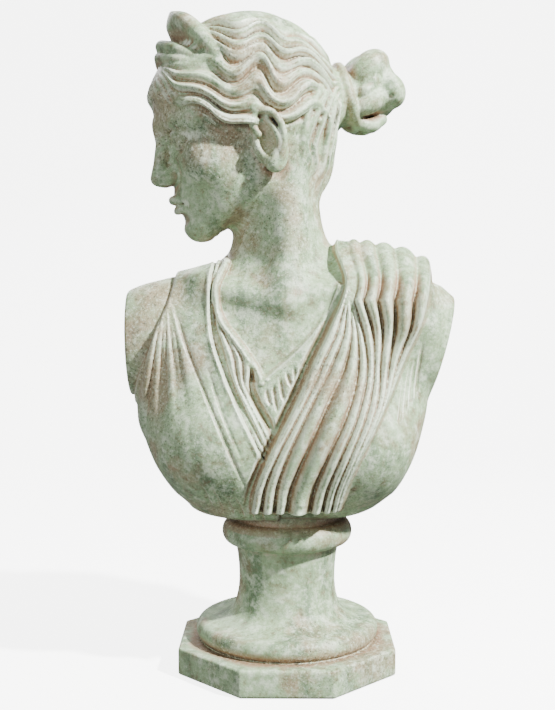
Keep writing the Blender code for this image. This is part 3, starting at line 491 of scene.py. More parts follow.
def diadem(clay):
    wedge = Clay(clay.at, clay.reach)
    path, radii = (curve(c, 14) for c in (DIADEM[0], [(r, 0) for r in DIADEM[1]]))
    radii = radii[:, 0]
    middle = np.array(SKULL_AT)
    for lift in (-5, 4, 11):
        away = path - middle
        away /= np.linalg.norm(away, axis=1)[:, None]
        clay_radii = radii * (1 - 0.32 * (lift + 5) / 16)
        wedge.add(roll(path + away * lift * (radii / radii[0])[:, None], clay_radii), 5)
    front = wedge.at @ np.array((0.903, 0, 0.43), np.float32) - 98
    wedge.depth = -union(-wedge.depth, -front, 3)
    clay.depth = union(clay.depth, wedge.depth, 2)
    for path, radii in ROLLS:
        clay.add(roll(curve(path, 12), np.interp(np.linspace(0, 4, 12), range(5), radii)), 1.5)


def head(points, reach):
    clay = Clay(points, reach)
    clay.at = np.stack([points[:, 0], np.abs(points[:, 1]), points[:, 2]], 1)
    face(clay)
    hair(clay)
    listen = ear(clay)
    clay.depth = union(clay.depth, listen.depth, 3)
    diadem(clay)
    clay.at = points
    knot(clay)
    return clay.depth


# Drapery, laid out in the front view: x across and z up, in mm
MANTLE_Z = (160, 174, 199, 238, 268, 299, 329, 364, 410, 440)
MANTLE_LEFT = (-41, -38, -33, -17, -2, 13, 26, 43, 59, 50)
MANTLE_RIGHT = (50, 54, 60, 76, 92, 108, 122, 138, 150, 156)
# creases between its folds, as shares of its width at each height, and the height of each fold
CREASE_Z = (177, 239, 290, 325, 360, 390)
CREASES = (
    (0, 0, 0, 0, 0, 0), (0.125, 0.10, 0.118, 0.117, 0.11, 0.048), (0.27, 0.205, 0.186, 0.213, 0.178, 0.072),
    (0.406, 0.39, 0.353, 0.36, 0.256, 0.096), (0.66, 0.64, 0.588, 0.50, 0.31, 0.108),
    (0.80, 0.775, 0.70, 0.596, 0.367, 0.133), (0.90, 0.87, 0.785, 0.67, 0.478, 0.253),
    (0.96, 0.94, 0.87, 0.733, 0.589, 0.41), (0.985, 0.975, 0.94, 0.83, 0.722, 0.60),
    (0.995, 0.99, 0.98, 0.92, 0.889, 0.82), (1, 1, 1, 1, 1, 1))
FOLD_HEIGHTS = (7, 6.5, 5.5, 8, 6.5, 8.5, 7.5, 8, 8.5, 9)
STRAP_TOPS = ((58, 451), (79, 449), (100, 445), (121, 440), (141, 431))


def smooth_curve(z, zs, xs):
    """Cubic through the stations, for many heights."""
    zs, xs = np.array(zs, float), np.array(xs, float)
    slope = np.gradient(xs, zs)
    i = np.clip(np.searchsorted(zs, z) - 1, 0, len(zs) - 2)
    h = zs[i + 1] - zs[i]
    t = np.clip((z - zs[i]) / h, 0, 1)
    h00, h10 = 2 * t**3 - 3 * t**2 + 1, t**3 - 2 * t**2 + t
    h01, h11 = -2 * t**3 + 3 * t**2, t**3 - t**2
    return h00 * xs[i] + h10 * h * slope[i] + h01 * xs[i + 1] + h11 * h * slope[i + 1]


def pleats(x, z, left, wide, heights_at, creases, tops):
    """Height of the folds that lie side by side between creases down a band of cloth."""
    share = (x - left) / wide
    shares = [smooth_curve(z, heights_at, row) for row in creases]
    folds = np.zeros(len(x), np.float32)
    for a, b, top in zip(shares, shares[1:], tops):
        broad = (b - a) * wide
        across = 2 * (share - a) / np.maximum(b - a, 1e-3) - 1
        folds = np.maximum(folds, np.minimum(top, 0.45 * broad) * fold(across, broad / 2))
    return folds


def mantle_height(p):
    """Height of the mantle's folds, and how far it covers what lies under it."""
    x, z = p[:, 0], p[:, 2]
    left = smooth_curve(z, MANTLE_Z, MANTLE_LEFT)
    wide = smooth_curve(z, MANTLE_Z, MANTLE_RIGHT) - left
    folds = pleats(x, z, left, wide, CREASE_Z, CREASES, FOLD_HEIGHTS)
    over = smooth_step(x - left, -3, 3.5) * smooth_step(wide + left - x, -5, 4) * smooth_step(z, 170, 176)
    top = smooth_step(z, 386, 425)
    return 7 * (1 - 0.8 * top) + 1.25 * folds * (1 - 0.6 * top), over


def line(*points):
    return curve([(x, 0, z) for x, z in points], 4 * len(points))[:, ::2]


def groove_height(at, lines):
    """How deep the strokes cut: each is its points, half width and depth, and fades at both ends."""
    deepest = np.zeros(len(at), np.float32)
    for points, half, depth in lines:
        n = len(points)
        fade = np.minimum(1, 4 * np.minimum(np.arange(n) + 0.3, n - 0.7 - np.arange(n)) / n)
        widths = half * (0.5 + 0.5 * fade)
        deepest = np.maximum(deepest, ridge_heights(at, [(points, widths, depth * fade, 1.3)]))
    return deepest


# the fan of folds below the pinned shoulder: angle from straight down, half width, height and length
PIN = (-125, 402)
FAN = ((-12.5, 3.4, 6, 190), (-6.8, 3.2, 4, 165), (-1.4, 2.3, 2.4, 115), (3.4, 3.0, 3.2, 150),
       (9.4, 2.4, 1.8, 105), (15, 3.6, 2.2, 150))
# outer edge of the left garment and rolled edge of the neckline, as x and z
OVERFOLD_EDGE = ((-77, 425), (-79, 400), (-77, 354), (-63, 313), (-52, 288), (-30, 243), (-16, 210),
                 (-8, 170))
NECK_LEFT = ((-64, 430), (-74, 400), (-69, 372), (-50, 346), (-37, 328), (-30, 316), (-26, 307))
NECK_RIGHT = ((-26, 307), (-8, 322), (13, 341), (30, 360), (43, 380), (53, 406))
INNER_EDGE = ((-64, 430), (-74, 400), (-69, 372), (-50, 346), (-38, 328), (-37, 300), (-27, 280), (-18, 262),
              (-8, 236))
INNER_Z = (236, 262, 290, 318, 340, 360, 390)
INNER_CREASES = ((0,) * 7, (0.3, 0.3, 0.3, 0.22, 0.27, 0.38, 0.5), (0.62, 0.62, 0.6, 0.47, 0.6, 0.66, 0.7),
                 (0.85, 0.85, 0.85, 0.72, 0.82, 0.85, 0.9), (1,) * 7)
CRINKLES = 8


def along(z, path):
    """x of a line of points at the heights z."""
    low_first = path if path[0][1] < path[-1][1] else path[::-1]
    return smooth_curve(z, [q[1] for q in low_first], [q[0] for q in low_first])


def ridge(path, half, height):
    points = line(*path)
    return points, np.full(len(points), half), np.full(len(points), height), 1.3


def front_drapery(p):
    """Height of the cloth over the body, for points in front."""
    at = np.stack([p[:, 0], p[:, 2]], 1)
    x, z = at[:, 0], at[:, 1]
    edge = along(z, OVERFOLD_EDGE)
    inner = along(z, INNER_EDGE)
    armhole = smooth_curve(z, (150, 262, 300, 350, 404, 430), (-190, -170, -160, -140, -121, -118))
    neck_z = smooth_curve(x, [q[0] for q in NECK_RIGHT], [q[1] for q in NECK_RIGHT])

    garment = smooth_step(x - armhole, -2.5, 3.5) * smooth_step(edge - x, -3, 3)
    turn = np.degrees(np.arctan2(x - PIN[0], np.maximum(PIN[1] - z, 1)))
    away = np.hypot(x - PIN[0], z - PIN[1])
    fan = np.zeros(len(p), np.float32)
    for angle, half, height, length in FAN:
        fade = np.minimum(away / 55, 1) * (1 - smooth_step(away, 0.45 * length, length)) * (z < PIN[1])
        fan = np.maximum(fan, height * hump((turn - angle) / half) * fade)
    hem = ridge_heights(at, [ridge(OVERFOLD_EDGE, 6, 2.2)])
    left = garment * (8 + fan + hem)

    inside = smooth_step(inner - x, -2.5, 2.5) * (z > 225)
    left_folds = pleats(x, z, edge, np.maximum(inner - edge, 3), INNER_Z, INNER_CREASES, (5.5, 5, 5, 6))
    right = smooth_step(neck_z - z, -2.5, 2.5) * smooth_step(x - inner, -2, 2)
    chiton = inside * (4 + left_folds) + 5 * right
    curl = ((-34, 325), (-28, 313), (-20, 310))
    rolled = [ridge(NECK_LEFT, 5.5, 6), ridge(NECK_RIGHT, 4, 2.6), ridge(curl, 5, 4)]
    chiton = np.maximum(chiton, ridge_heights(at, rolled) + 3 * np.maximum(inside, right))

    mantle_edge = list(zip(MANTLE_LEFT, MANTLE_Z))[1:-1]
    grooves = [
        (line(*mantle_edge) - (4.5, 0), 6, 6.5),
        (line(*OVERFOLD_EDGE[1:-2]) + (3.5, 0), 4, 5),
        (line((-37, 322), (-38, 300), (-28, 279), (-17, 260), (-10, 240)) + (2, 0), 6.5, 8),
        (line((-121, 396), (-98, 330), (-62, 250), (-36, 186)), 2.6, 2),
        (line((-84, 330), (-66, 280), (-40, 220)), 2.2, 1.5),
    ]
    for n in range(CRINKLES):
        top_x, top_z = 7 * n - 21, 301 + 5.5 * n
        drop = 15 + 17 * math.sin(0.9 * n + 0.4) ** 2
        path = (top_x, top_z), (top_x + 2, top_z - 0.5 * drop), (top_x + 5, top_z - drop)
        grooves.append((line(*path), 2.6, 3))
    for n in range(6):
        top_x, top_z = 11 * n - 90, 208 - 4 * n
        path = (top_x, top_z), (top_x + 8, top_z - 16), (top_x + 13, top_z - 34)
        grooves.append((line(*path), 2.6, 1.2))
    for n in range(4):
        top_x, top_z = 141 - 7 * n, 350 - 14 * n
        path = (top_x, top_z), (top_x - 5, top_z - 34), (top_x - 8, top_z - 66 + 8 * n)
        grooves.append((line(*path), 2.6, 2))
    under = np.maximum(left, (1 - garment) * chiton) - groove_height(at, grooves)
    mantle, over = mantle_height(p)
    return under + over * (6 + mantle - under)


def back_drapery(p):
    """Height of the plainer cloth over the back."""
    x, z = p[:, 0], p[:, 2]
    neck = 398 + 0.0016 * x**2
    armhole = smooth_curve(z, (150, 262, 300, 350, 404, 430), (190, 172, 158, 138, 122, 118))
    cover = smooth_step(neck - z, -4, 4) * smooth_step(armhole - np.abs(x), -4, 4) * smooth_step(z, 172, 178)
    slant = x - 0.16 * (z - 300) * np.sign(x)
    soft = 2.6 * (0.5 + 0.5 * np.cos(np.radians(slant * 360 / 38))) ** 1.5 * smooth_step(395 - z, 0, 70)
    left = 58 - 0.55 * (425 - z)
    wide = 92 - 0.06 * (425 - z)
    creases = [(n / 5,) * 2 for n in range(6)]
    folds = pleats(x, z, left, wide, (170, 430), creases, (6,) * 5)
    over = smooth_step(x - left, -3, 3) * smooth_step(left + wide - x, -3, 3) * smooth_step(z, 172, 178)
    return cover * (5 + soft) * (1 - over) + over * (9 + folds) * (1 - 0.8 * smooth_step(z, 390, 425))


BODY = ((150, 50, 32, 38), (160, 66, 44, 46), (172, 90, 60, 58), (186, 108, 71, 67), (213, 130, 80, 75),
        (243, 145, 84, 78), (268, 151, 82, 80), (300, 148, 76, 78), (340, 138, 66, 74), (380, 112, 54, 64),
        (408, 72, 40, 48), (424, 44, 28, 36), (452, 26, 20, 26), (484, 18, 14, 18), (520, 18, 14, 18))


def loft(stations, power):
    """A body from its half width, front and back depth at each height."""
    zs, wide, front, back = (np.array(c, float) for c in zip(*stations))

    def share(p, lift):
        z = p[:, 2] + lift
        deep = np.where(p[:, 1] < 0, smooth_curve(z, zs, front), smooth_curve(z, zs, back))
        across = smooth_curve(z, zs, wide)
        a, b = np.abs(p[:, 0]) / across, np.abs(p[:, 1]) / deep
        total = np.maximum((a**power + b**power) ** (1 / power), 1e-3)
        slope = np.hypot((a / total) ** (power - 1) / across, (b / total) ** (power - 1) / deep)
        return total, slope

    def distance(p):
        here, slope = share(p, 0)
        rise = share(p, 1)[0] - here
        d = (here - 1) / np.hypot(slope, rise)
        return np.maximum(np.maximum(d, zs[0] - p[:, 2]), p[:, 2] - zs[-1]).astype(np.float32)

    return shape((-wide.max(), -front.max(), zs[0]), (wide.max(), back.max(), zs[-1]), distance)


def straps(points, reach):
    """The mantle's rolls over the shoulder."""
    cloth = Clay(points, reach)
    cloth.add(roll([(58, -6, 418), (104, -6, 412), (136, -6, 398)], [20, 22, 18]), 8)
    cloth.add(roll([(66, -29, 376), (104, -28, 370), (138, -25, 356)], 17), 14)
    for x, z in STRAP_TOPS:
        strap = [(x + 4, -42, z - 66), (x + 2, -36, z - 38), (x, -12, z - 17), (x - 1, 18, z - 20),
                 (x - 3, 48, z - 54)]
        cloth.add(roll(curve(strap, 13), np.interp(range(13), (0, 4, 8, 12), (5, 8, 9.5, 8))), 15)
    return cloth.depth


def torso(points, reach):
    clay = Clay(points, reach)
    p = points
    mirrored = points.copy()
    mirrored[:, 0] = np.abs(mirrored[:, 0])
    clay.at = mirrored
    clay.add(loft(BODY, 2.5))
    clay.add(egg((76, -50, 240), (46, 40, 44)), 30)
    clay.add(egg((140, 2, 342), (78, 48, 57)), 14)
    clay.add(roll([(10, 10, 398), (80, 8, 386), (130, 4, 366)], [36, 36, 38]), 26)
    clay.add(roll([(0, 18, 425), (60, 14, 400)], [30, 20]), 26)
    clay.at = points
    clay.add(roll([(0, 12, 375), (-8, 12, 430), (-12, 10, 480), (-24, 6, 545)], [54, 47.5, 46, 50]), 30)
    clay.cut(egg((-5, -70, 396), (10, 12, 12)), 14)
    clay.add(roll(curve([(-20, -48, 390), (-50, -46, 396), (-84, -32, 402)], 9), 6), 22)
    clay.add(roll([(8, -48, 390), (50, -42, 400)], [6, 6]), 22)
    clay.add(roll([(-4, -52, 390), (2, -40, 440), (2, -34, 500), (2, -28, 545)], [8, 12, 14, 12]), 26)
    for normal, offset in (((-1, 0, -0.03), 155), ((0.968, 0, -0.25), ARM_CUT)):
        n = np.array(normal, np.float32)
        clay.depth = -union(-clay.depth, -(p @ n - offset), 3)
    return clay.depth


def figure_distance(points, reach):
    """Distance to the figure, down to its seat on the socle."""
    depth = np.full(len(points), FAR, np.float32)
    z = points[:, 2]
    i = np.flatnonzero((z > 130 - reach) & (z < 577 + reach))
    body_at = points[i] - np.array((0, 0, BODY_LIFT), np.float32)
    body = union(torso(body_at, reach + 30), straps(body_at, reach + 30), 12)
    near = np.flatnonzero((np.abs(body) < 30 + reach) & (body_at[:, 2] < 470))
    q = body_at[near]
    arm_cut = ARM_CUT - 0.968 * q[:, 0] + 0.25 * q[:, 2]
    body[near] -= front_drapery(q) * smooth_step(-q[:, 1], -10, 20) * smooth_step(arm_cut, -3, 15)
    body[near] -= back_drapery(q) * smooth_step(q[:, 1], -4, 20) * smooth_step(arm_cut, -3, 15)
    body = -union(-body, -(SEAT - 4 - body_at[:, 2]), 6)
    depth[i] = 0.7 * body
    local = (points - np.array(HEAD_AT, np.float32)) @ AXES.T
    i = np.flatnonzero((z > 400 - reach) & (norm(local + np.array((35, 0, 0), np.float32)) < 190 + reach))
    depth[i] = union(depth[i], head(local[i], reach), 14)
    return depth


def socle_profile():
    """Radius and height down the outer side of the turned socle, from the axis at its top."""
    top = SOCLE_HEIGHT + SEAT_DEPTH
    collar_top = SOCLE_HEIGHT - 2
    collar_low = collar_top - COLLAR_THICKNESS
    stem_low = PLINTH_HEIGHT + FOOT_THICKNESS + COVE_HEIGHT
    waist = stem_low + 0.4 * (collar_low - stem_low)
    foot_inner = FOOT_RADIUS - 0.4 * FOOT_THICKNESS
    points = [(0, top), (NECK_RADIUS, top)]
    for a in np.linspace(0, math.pi, 12):
        share = (1 - math.cos(a)) / 2
        inner = NECK_RADIUS + (STEM_TOP_RADIUS - NECK_RADIUS) * share
        bulge = (COLLAR_RADIUS - inner) * math.sin(a) ** 0.8
        points.append((inner + bulge, collar_top - COLLAR_THICKNESS * share))
    for z in np.linspace(collar_low - 3, stem_low, 10):
        end, flare = (collar_low, STEM_TOP_RADIUS) if z > waist else (stem_low, STEM_FOOT_RADIUS)
        points.append((STEM_RADIUS + (flare - STEM_RADIUS) * abs((z - waist) / (end - waist)) ** 2.2, z))
    for a in np.linspace(0, math.pi / 2, 8)[1:]:
        across = foot_inner - (foot_inner - STEM_FOOT_RADIUS) * math.cos(a)
        points.append((across, stem_low - COVE_HEIGHT * math.sin(a)))
    for a in np.linspace(math.pi / 2, -math.pi / 2, 10)[1:]:
        across = foot_inner + (FOOT_RADIUS - foot_inner) * math.cos(a)
        points.append((across, PLINTH_HEIGHT + FOOT_THICKNESS * (1 + math.sin(a)) / 2))
    return np.array(points + [(foot_inner, PLINTH_HEIGHT / 2), (0, PLINTH_HEIGHT / 2)], np.float32)


PROFILE = socle_profile()


def turned_distance(p):
    """Distance to the turned part of the socle."""
    q = np.stack([np.hypot(p[:, 0], p[:, 1]), p[:, 2]], 1)
    best = np.full(len(p), FAR**2, np.float32)
    sign = np.ones(len(p), np.float32)
    for a, b in zip(PROFILE, np.roll(PROFILE, 1, 0)):
        edge, off = b - a, q - a
        t = np.clip(off @ edge / max(float(edge @ edge), 1e-9), 0, 1)
        gap = off - t[:, None] * edge
        best = np.minimum(best, np.einsum("ij,ij->i", gap, gap))
        above, below, left = q[:, 1] >= a[1], q[:, 1] < b[1], edge[0] * off[:, 1] > edge[1] * off[:, 0]
        sign = np.where((above & below & left) | (~above & ~below & ~left), -sign, sign)
    return sign * np.sqrt(best)


def plinth_distance(p):
    """Distance to the eight-sided plinth with its rounded edges."""
    x, y = np.abs(p[:, 0]), np.abs(p[:, 1])
    side = np.maximum(np.maximum(x, y), (x + y) * math.sqrt(0.5)) - PLINTH_ACROSS / 2
    up = np.abs(p[:, 2] - PLINTH_HEIGHT / 2) - PLINTH_HEIGHT / 2
    q = np.stack([side, up], 1) + PLINTH_EDGE
    return norm(np.maximum(q, 0)) + np.minimum(q.max(1), 0) - PLINTH_EDGE


def socle_distance(points, reach):
    return union(plinth_distance(points), turned_distance(points), 2)


def bust_distance(points, reach):
    depth = np.full(len(points), FAR, np.float32)
    low = np.flatnonzero(points[:, 2] < 190 + reach)
    depth[low] = socle_distance(points[low], reach)
    high = np.flatnonzero(points[:, 2] > 145 - reach)
    depth[high] = union(depth[high], figure_distance(points[high], reach), 3)
    return depth


POOL = ThreadPoolExecutor(4)


def shared(distance):
    """The same distance, worked out on all cores at once."""
    def split(points, reach):
        if len(points) < 20000:
            return distance(points, reach)
        parts = np.array_split(points, 12)
        return np.concatenate(list(POOL.map(lambda part: distance(part, reach), parts)))
    return split


def carved(name, distance, low, high, cell, triangles):
    """A closed mesh of the surface, evened out and thinned where it is flat."""
    points, faces = skin(distance, low, high, cell, 4, margin=1.5)
    points = relaxed(points, faces, 1)
    points = settle(points, faces, distance, 3 * cell)
    points = relaxed(points, faces, 1, 0.4)
    mesh = bpy.data.meshes.new(name)
    mesh.from_pydata((points * MM).tolist(), [], faces.tolist())
    piece = bpy.data.objects.new(name, mesh)
    bpy.context.scene.collection.objects.link(piece)
    bpy.ops.object.select_all(action="DESELECT")
    bpy.context.view_layer.objects.active = piece
    piece.select_set(True)
    if 2 * len(faces) > triangles:
        thin = piece.modifiers.new("thin", "DECIMATE")
        thin.ratio = triangles / (2 * len(faces))
        bpy.ops.object.modifier_apply(modifier=thin.name)
    bpy.ops.object.shade_smooth()
    return piece


def shelter_and_exposure(piece, distance):
    """Writes how sheltered and how exposed each point of the stone is, for the finish to read: the shelter
    brings dirt, darker hollows and painted shade, the exposure paler wear and a painted highlight.
    """
    mesh = piece.data
    at = np.zeros(len(mesh.vertices) * 3, np.float32)
    out = np.zeros(len(mesh.vertices) * 3, np.float32)
    mesh.vertices.foreach_get("co", at)
    mesh.vertex_normals.foreach_get("vector", out)
    at, out = at.reshape(-1, 3) / MM, out.reshape(-1, 3)
    here = distance(at, 6)
    slope = np.maximum((distance(at + 0.8 * out, 6) - here) / 0.8, 0.3)
    for name, far in (("sheltered_wide", 14), ("sheltered", 6), ("sheltered_fine", 2.5), ("exposed", -3)):
        found = (distance(at + far * out, abs(far) + 8) - here) / (slope * far)
        layer = mesh.attributes.new(name, "FLOAT", "POINT")
        layer.data.foreach_set("value", np.clip(1 - found, 0, 1).astype(np.float32))


def linear(code):
    """An sRGB hex colour as the linear colour that a shader takes."""
    shares = [int(code[k:k + 2], 16) / 255 for k in (1, 3, 5)]
    return tuple(c / 12.92 if c <= 0.04045 else ((c + 0.055) / 1.055) ** 2.4 for c in shares) + (1,)


def add(tree, kind, inputs, **settings):
    """Adds a node with its settings and its inputs, as values or sockets to link; gives its outputs."""
    node = tree.nodes.new(kind)
    for name, value in settings.items():
        setattr(node, name, value)
    for key, value in inputs.items():
        if isinstance(value, bpy.types.NodeSocket):
            tree.links.new(value, node.inputs[key])
        else:
            node.inputs[key].default_value = value
    return node.outputs


# Colours of the stone, from the raised parts to the deepest grooves: patina, except that the near black is
# painted shade and the pale one on the crests is wear with a painted highlight
MINT = linear("#97b088")
PALE = linear("#d6e2ca")
BEIGE = linear("#9c8a6e")
EARTH = linear("#74644a")
TERRACOTTA = linear("#9a6f54")
MOSS = linear("#627a5c")
# near black green: painted shade in the deepest grooves and in the pores
PAINTED_SHADE = linear("#23281e")
SPECK = linear("#3e4838")


def weathered_cast_stone():
    """Cast stone, of cement and marble dust, under a mineral wash that has weathered outdoors.

    It is half matt and mint grey, beige to terracotta where rain has left dirt, darker brown deeper in the
    hollows, painted shade in near black green in the deepest grooves and pores, speckled, and pale and
    slightly polished on the crests, as wear and a painted highlight.
    """
    material = bpy.data.materials.new("weathered cast stone")
    material.use_nodes = True
    tree = material.node_tree
    tree.nodes.clear()
    place = add(tree, "ShaderNodeTexCoord", {})["Object"]
    wide = add(tree, "ShaderNodeAttribute", {}, attribute_name="sheltered_wide")["Fac"]
    near = add(tree, "ShaderNodeAttribute", {}, attribute_name="sheltered")["Fac"]
    fine = add(tree, "ShaderNodeAttribute", {}, attribute_name="sheltered_fine")["Fac"]
    crest = add(tree, "ShaderNodeAttribute", {}, attribute_name="exposed")["Fac"]
    # Patches of 60 mm, mottling of 13 mm, speckle of 3.4 mm, grit of 1.8 mm and pores 7 mm apart
    patches = add(tree, "ShaderNodeTexNoise", {"Vector": place, "Scale": 1000 / 60, "Detail": 5,
                                               "Roughness": 0.62, "Distortion": 0.5})["Fac"]
    mottle = add(tree, "ShaderNodeTexNoise", {"Vector": place, "Scale": 1000 / 13, "Detail": 6,
                                              "Roughness": 0.7})["Fac"]
    speckle = add(tree, "ShaderNodeTexNoise", {"Vector": place, "Scale": 1000 / 3.4, "Detail": 4,
                                               "Roughness": 0.75})["Fac"]
    grit = add(tree, "ShaderNodeTexNoise", {"Vector": place, "Scale": 1000 / 1.8, "Detail": 2,
                                            "Roughness": 0.6})["Fac"]
    flow = add(tree, "ShaderNodeMapping", {"Vector": place, "Scale": (1, 1, 0.25)})["Vector"]
    streaks = add(tree, "ShaderNodeTexNoise", {"Vector": flow, "Scale": 1000 / 26, "Detail": 5,
                                               "Roughness": 0.65})["Fac"]
    blots = add(tree, "ShaderNodeTexNoise", {"Vector": place, "Scale": 1000 / 95, "Detail": 3})["Fac"]
    pores = add(tree, "ShaderNodeTexVoronoi", {"Vector": place, "Scale": 1000 / 7,
                                               "Randomness": 1})["Distance"]

    colour = MINT
    layers = (
        # what spreads it, from where to where it covers, how strongly, and its colour
        (patches, 0.50, 0.62, 0.85, BEIGE),
        (streaks, 0.49, 0.64, 0.85, MOSS),
        (mottle, 0.50, 0.64, 0.65, PALE),
        (mottle, 0.46, 0.34, 0.70, EARTH),
    )
    for spread, start, end, share, tint in layers:
        cover = add(tree, "ShaderNodeMapRange", {"Value": spread, "From Min": start, "From Max": end,
                                                 "To Max": share})[0]
        colour = add(tree, "ShaderNodeMix", {0: cover, 6: colour, 7: tint}, data_type="RGBA")[2]
    rough_edge = add(tree, "ShaderNodeMath", {0: mottle, 1: 0.5}, operation="SUBTRACT")[0]
    sheltered = (
        # the shelter, how ragged its edge is, where the layer starts and is full, how strong, its colour
        # beige and terracotta are dirt left in the hollows; the two earth brown rows make the deeper hollows
        # darker
        (wide, 1.2, 0.20, 0.70, 0.70, BEIGE),
        (near, 0.9, 0.25, 0.80, 0.75, TERRACOTTA),
        (near, 0.7, 0.58, 0.95, 0.75, EARTH),
        (fine, 0.7, 0.35, 0.75, 0.80, EARTH),
        # painted shade: near black in the deepest grooves
        (fine, 0.4, 0.62, 0.95, 0.95, PAINTED_SHADE),
    )
    for depth, broken, start, end, share, tint in sheltered:
        ragged = add(tree, "ShaderNodeMath", {0: rough_edge, 1: broken, 2: depth},
                     operation="MULTIPLY_ADD")[0]
        cover = add(tree, "ShaderNodeMapRange", {"Value": ragged, "From Min": start, "From Max": end,
                                                 "To Max": share})[0]
        colour = add(tree, "ShaderNodeMix", {0: cover, 6: colour, 7: tint}, data_type="RGBA")[2]
    # paler on the crests: wear, and a painted highlight
    ragged = add(tree, "ShaderNodeMath", {0: rough_edge, 1: 0.6, 2: crest}, operation="MULTIPLY_ADD")[0]
    crest_wear_and_highlight = add(tree, "ShaderNodeMapRange", {"Value": ragged, "From Min": 0.08, "From Max": 0.42,
                                            "To Max": 0.92})[0]
    colour = add(tree, "ShaderNodeMix", {0: crest_wear_and_highlight, 6: colour, 7: PALE}, data_type="RGBA")[2]
    washed = add(tree, "ShaderNodeMapRange", {"Value": blots, "From Min": 0.60, "From Max": 0.68,
                                              "To Max": 0.7})[0]
    colour = add(tree, "ShaderNodeMix", {0: washed, 6: colour, 7: BEIGE}, data_type="RGBA")[2]
    dense = add(tree, "ShaderNodeMapRange", {"Value": blots, "From Min": 0.36, "From Max": 0.60,
                                             "To Min": 0.30})[0]
    scatter = (
        (speckle, 0.55, 0.66, 0.80, SPECK), (speckle, 0.45, 0.35, 0.70, PALE),
        (grit, 0.60, 0.70, 0.60, SPECK), (grit, 0.40, 0.30, 0.50, PALE),
    )
    for spread, start, end, share, tint in scatter:
        grains = add(tree, "ShaderNodeMapRange", {"Value": spread, "From Min": start, "From Max": end,
                                                  "To Max": share})[0]
        cover = add(tree, "ShaderNodeMath", {0: grains, 1: dense}, operation="MULTIPLY")[0]
        colour = add(tree, "ShaderNodeMix", {0: cover, 6: colour, 7: tint}, data_type="RGBA")[2]
    # dark pores: painted shade inside them, in the near black
    hole = add(tree, "ShaderNodeMapRange", {"Value": pores, "From Min": 0.10, "From Max": 0.05})[0]
    pitted = add(tree, "ShaderNodeMapRange", {"Value": blots, "From Min": 0.50, "From Max": 0.56})[0]
    pit = add(tree, "ShaderNodeMath", {0: hole, 1: pitted}, operation="MULTIPLY")[0]
    colour = add(tree, "ShaderNodeMix", {0: pit, 6: colour, 7: PAINTED_SHADE}, data_type="RGBA")[2]

    rough = add(tree, "ShaderNodeMapRange", {"Value": mottle, "From Min": 0.3, "From Max": 0.7,
                                             "To Min": 0.40, "To Max": 0.62})[0]
    polished = add(tree, "ShaderNodeMath", {0: crest_wear_and_highlight, 1: -0.16, 2: rough}, operation="MULTIPLY_ADD")[0]
    waves = add(tree, "ShaderNodeTexNoise", {"Vector": place, "Scale": 1000 / 28, "Detail": 3})["Fac"]
    bump = add(tree, "ShaderNodeBump", {"Height": waves, "Distance": 0.0022, "Strength": 0.5})[0]
    for height, deep in ((mottle, 0.0011), (grit, 0.00045)):
        bump = add(tree, "ShaderNodeBump", {"Height": height, "Distance": deep, "Strength": 0.5,
                                            "Normal": bump})[0]
    bump = add(tree, "ShaderNodeBump", {"Height": pit, "Distance": 0.0008, "Strength": 0.6, "Normal": bump},
               invert=True)[0]
    shader = add(tree, "ShaderNodeBsdfPrincipled", {"Base Color": colour, "Roughness": polished,
                                                    "Normal": bump, "IOR": 1.5, "Metallic": 0.0})["BSDF"]
    add(tree, "ShaderNodeOutputMaterial", {"Surface": shader})
    return material


def opal_sheet():
    """Opal sheet of a shooting table, lit from behind, so that it photographs almost white."""
    material = bpy.data.materials.new("matt opal backdrop")
    material.use_nodes = True
    shader = material.node_tree.nodes["Principled BSDF"]
    shader.inputs["Base Color"].default_value = linear("#f4f4f1")
    shader.inputs["Roughness"].default_value = 0.9
    shader.inputs["Emission Color"].default_value = (1, 1, 1, 1)
    shader.inputs["Emission Strength"].default_value = 5.0
    return material


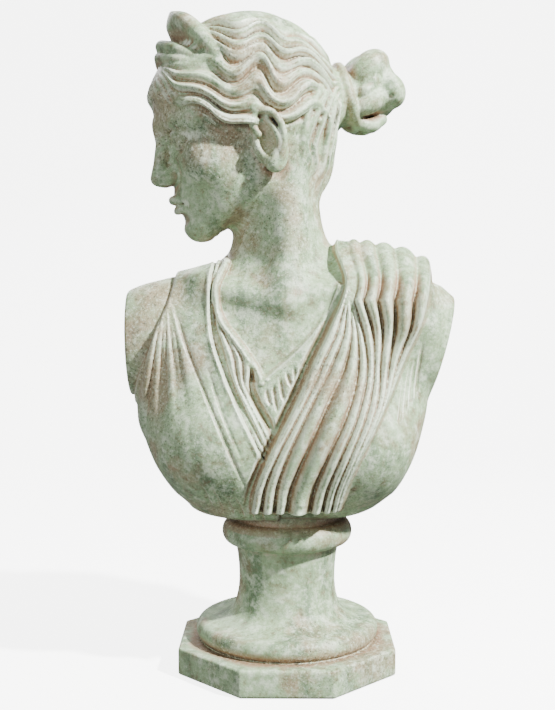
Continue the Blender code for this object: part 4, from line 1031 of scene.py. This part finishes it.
def backdrop():
    """One sheet: a floor that sweeps up into a wall behind. It throws no light back on the stone."""
    wide, front, back, sweep, high = 9.0, -9.0, 2.6, 1.2, 4.0
    rows = [(front, 0.0), (-1.0, 0.0), (0.5, 0.0)]
    for a in np.linspace(0, math.pi / 2, 13):
        rows.append((back - sweep + sweep * math.sin(a), sweep - sweep * math.cos(a)))
    rows.append((back, high))
    points = [(x, y, z) for y, z in rows for x in (-wide, wide)]
    faces = [(2 * n, 2 * n + 1, 2 * n + 3, 2 * n + 2) for n in range(len(rows) - 1)]
    mesh = bpy.data.meshes.new("backdrop")
    mesh.from_pydata(points, [], faces)
    mesh.shade_smooth()
    mesh.materials.append(opal_sheet())
    sheet = bpy.data.objects.new("backdrop", mesh)
    sheet.visible_diffuse = False
    sheet.visible_glossy = False
    bpy.context.scene.collection.objects.link(sheet)
    return sheet


def soft_light(name, at, aim, size, power):
    light = bpy.data.lights.new(name, "AREA")
    light.shape = "DISK"
    light.size = size
    light.energy = power
    lamp = bpy.data.objects.new(name, light)
    lamp.location = at
    lamp.rotation_euler = (Vector(at) - Vector(aim)).to_track_quat("Z", "Y").to_euler()
    bpy.context.scene.collection.objects.link(lamp)


def studio():
    """A small key light high on the right, a broad fill on the left, one above, one behind, a dim room."""
    chest = (0, 0, 0.4)
    soft_light("key", (1.7, -1.1, 2.05), chest, 0.14, 310)
    soft_light("fill", (-1.2, -1.9, 0.8), (0, 0, 0.3), 0.9, 20)
    soft_light("top", (0.1, 0.7, 2.2), chest, 1.4, 12)
    soft_light("back", (-0.9, 1.7, 1.7), chest, 1.0, 32)
    world = bpy.data.worlds.new("studio")
    world.use_nodes = True
    world.node_tree.nodes["Background"].inputs["Color"].default_value = (1, 1, 1, 1)
    world.node_tree.nodes["Background"].inputs["Strength"].default_value = 0.3
    bpy.context.scene.world = world


def photographer_camera():
    """At chest height, 1.2 m in front, tipped down a little."""
    lens = bpy.data.cameras.new("camera")
    lens.sensor_fit = "VERTICAL"
    lens.sensor_height = 24
    lens.lens = 24 * 1095 / 710
    camera = bpy.data.objects.new("camera", lens)
    camera.location = (0, -1.18, 0.42)
    camera.rotation_euler = Euler((math.radians(90 - 4.05), 0, math.radians(0.5)))
    bpy.context.scene.collection.objects.link(camera)
    bpy.context.scene.camera = camera


whole = shared(bust_distance)
stone = weathered_cast_stone()
figure = carved("figure", shared(figure_distance), LOW, HIGH, FIGURE_CELL, FIGURE_TRIANGLES)
socle = carved("socle", shared(socle_distance), SOCLE_LOW, SOCLE_HIGH, SOCLE_CELL, SOCLE_TRIANGLES)
for piece in (figure, socle):
    shelter_and_exposure(piece, whole)
    piece.data.materials.append(stone)
    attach(piece, "root")
    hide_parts("bust")

backdrop()
studio()
photographer_camera()
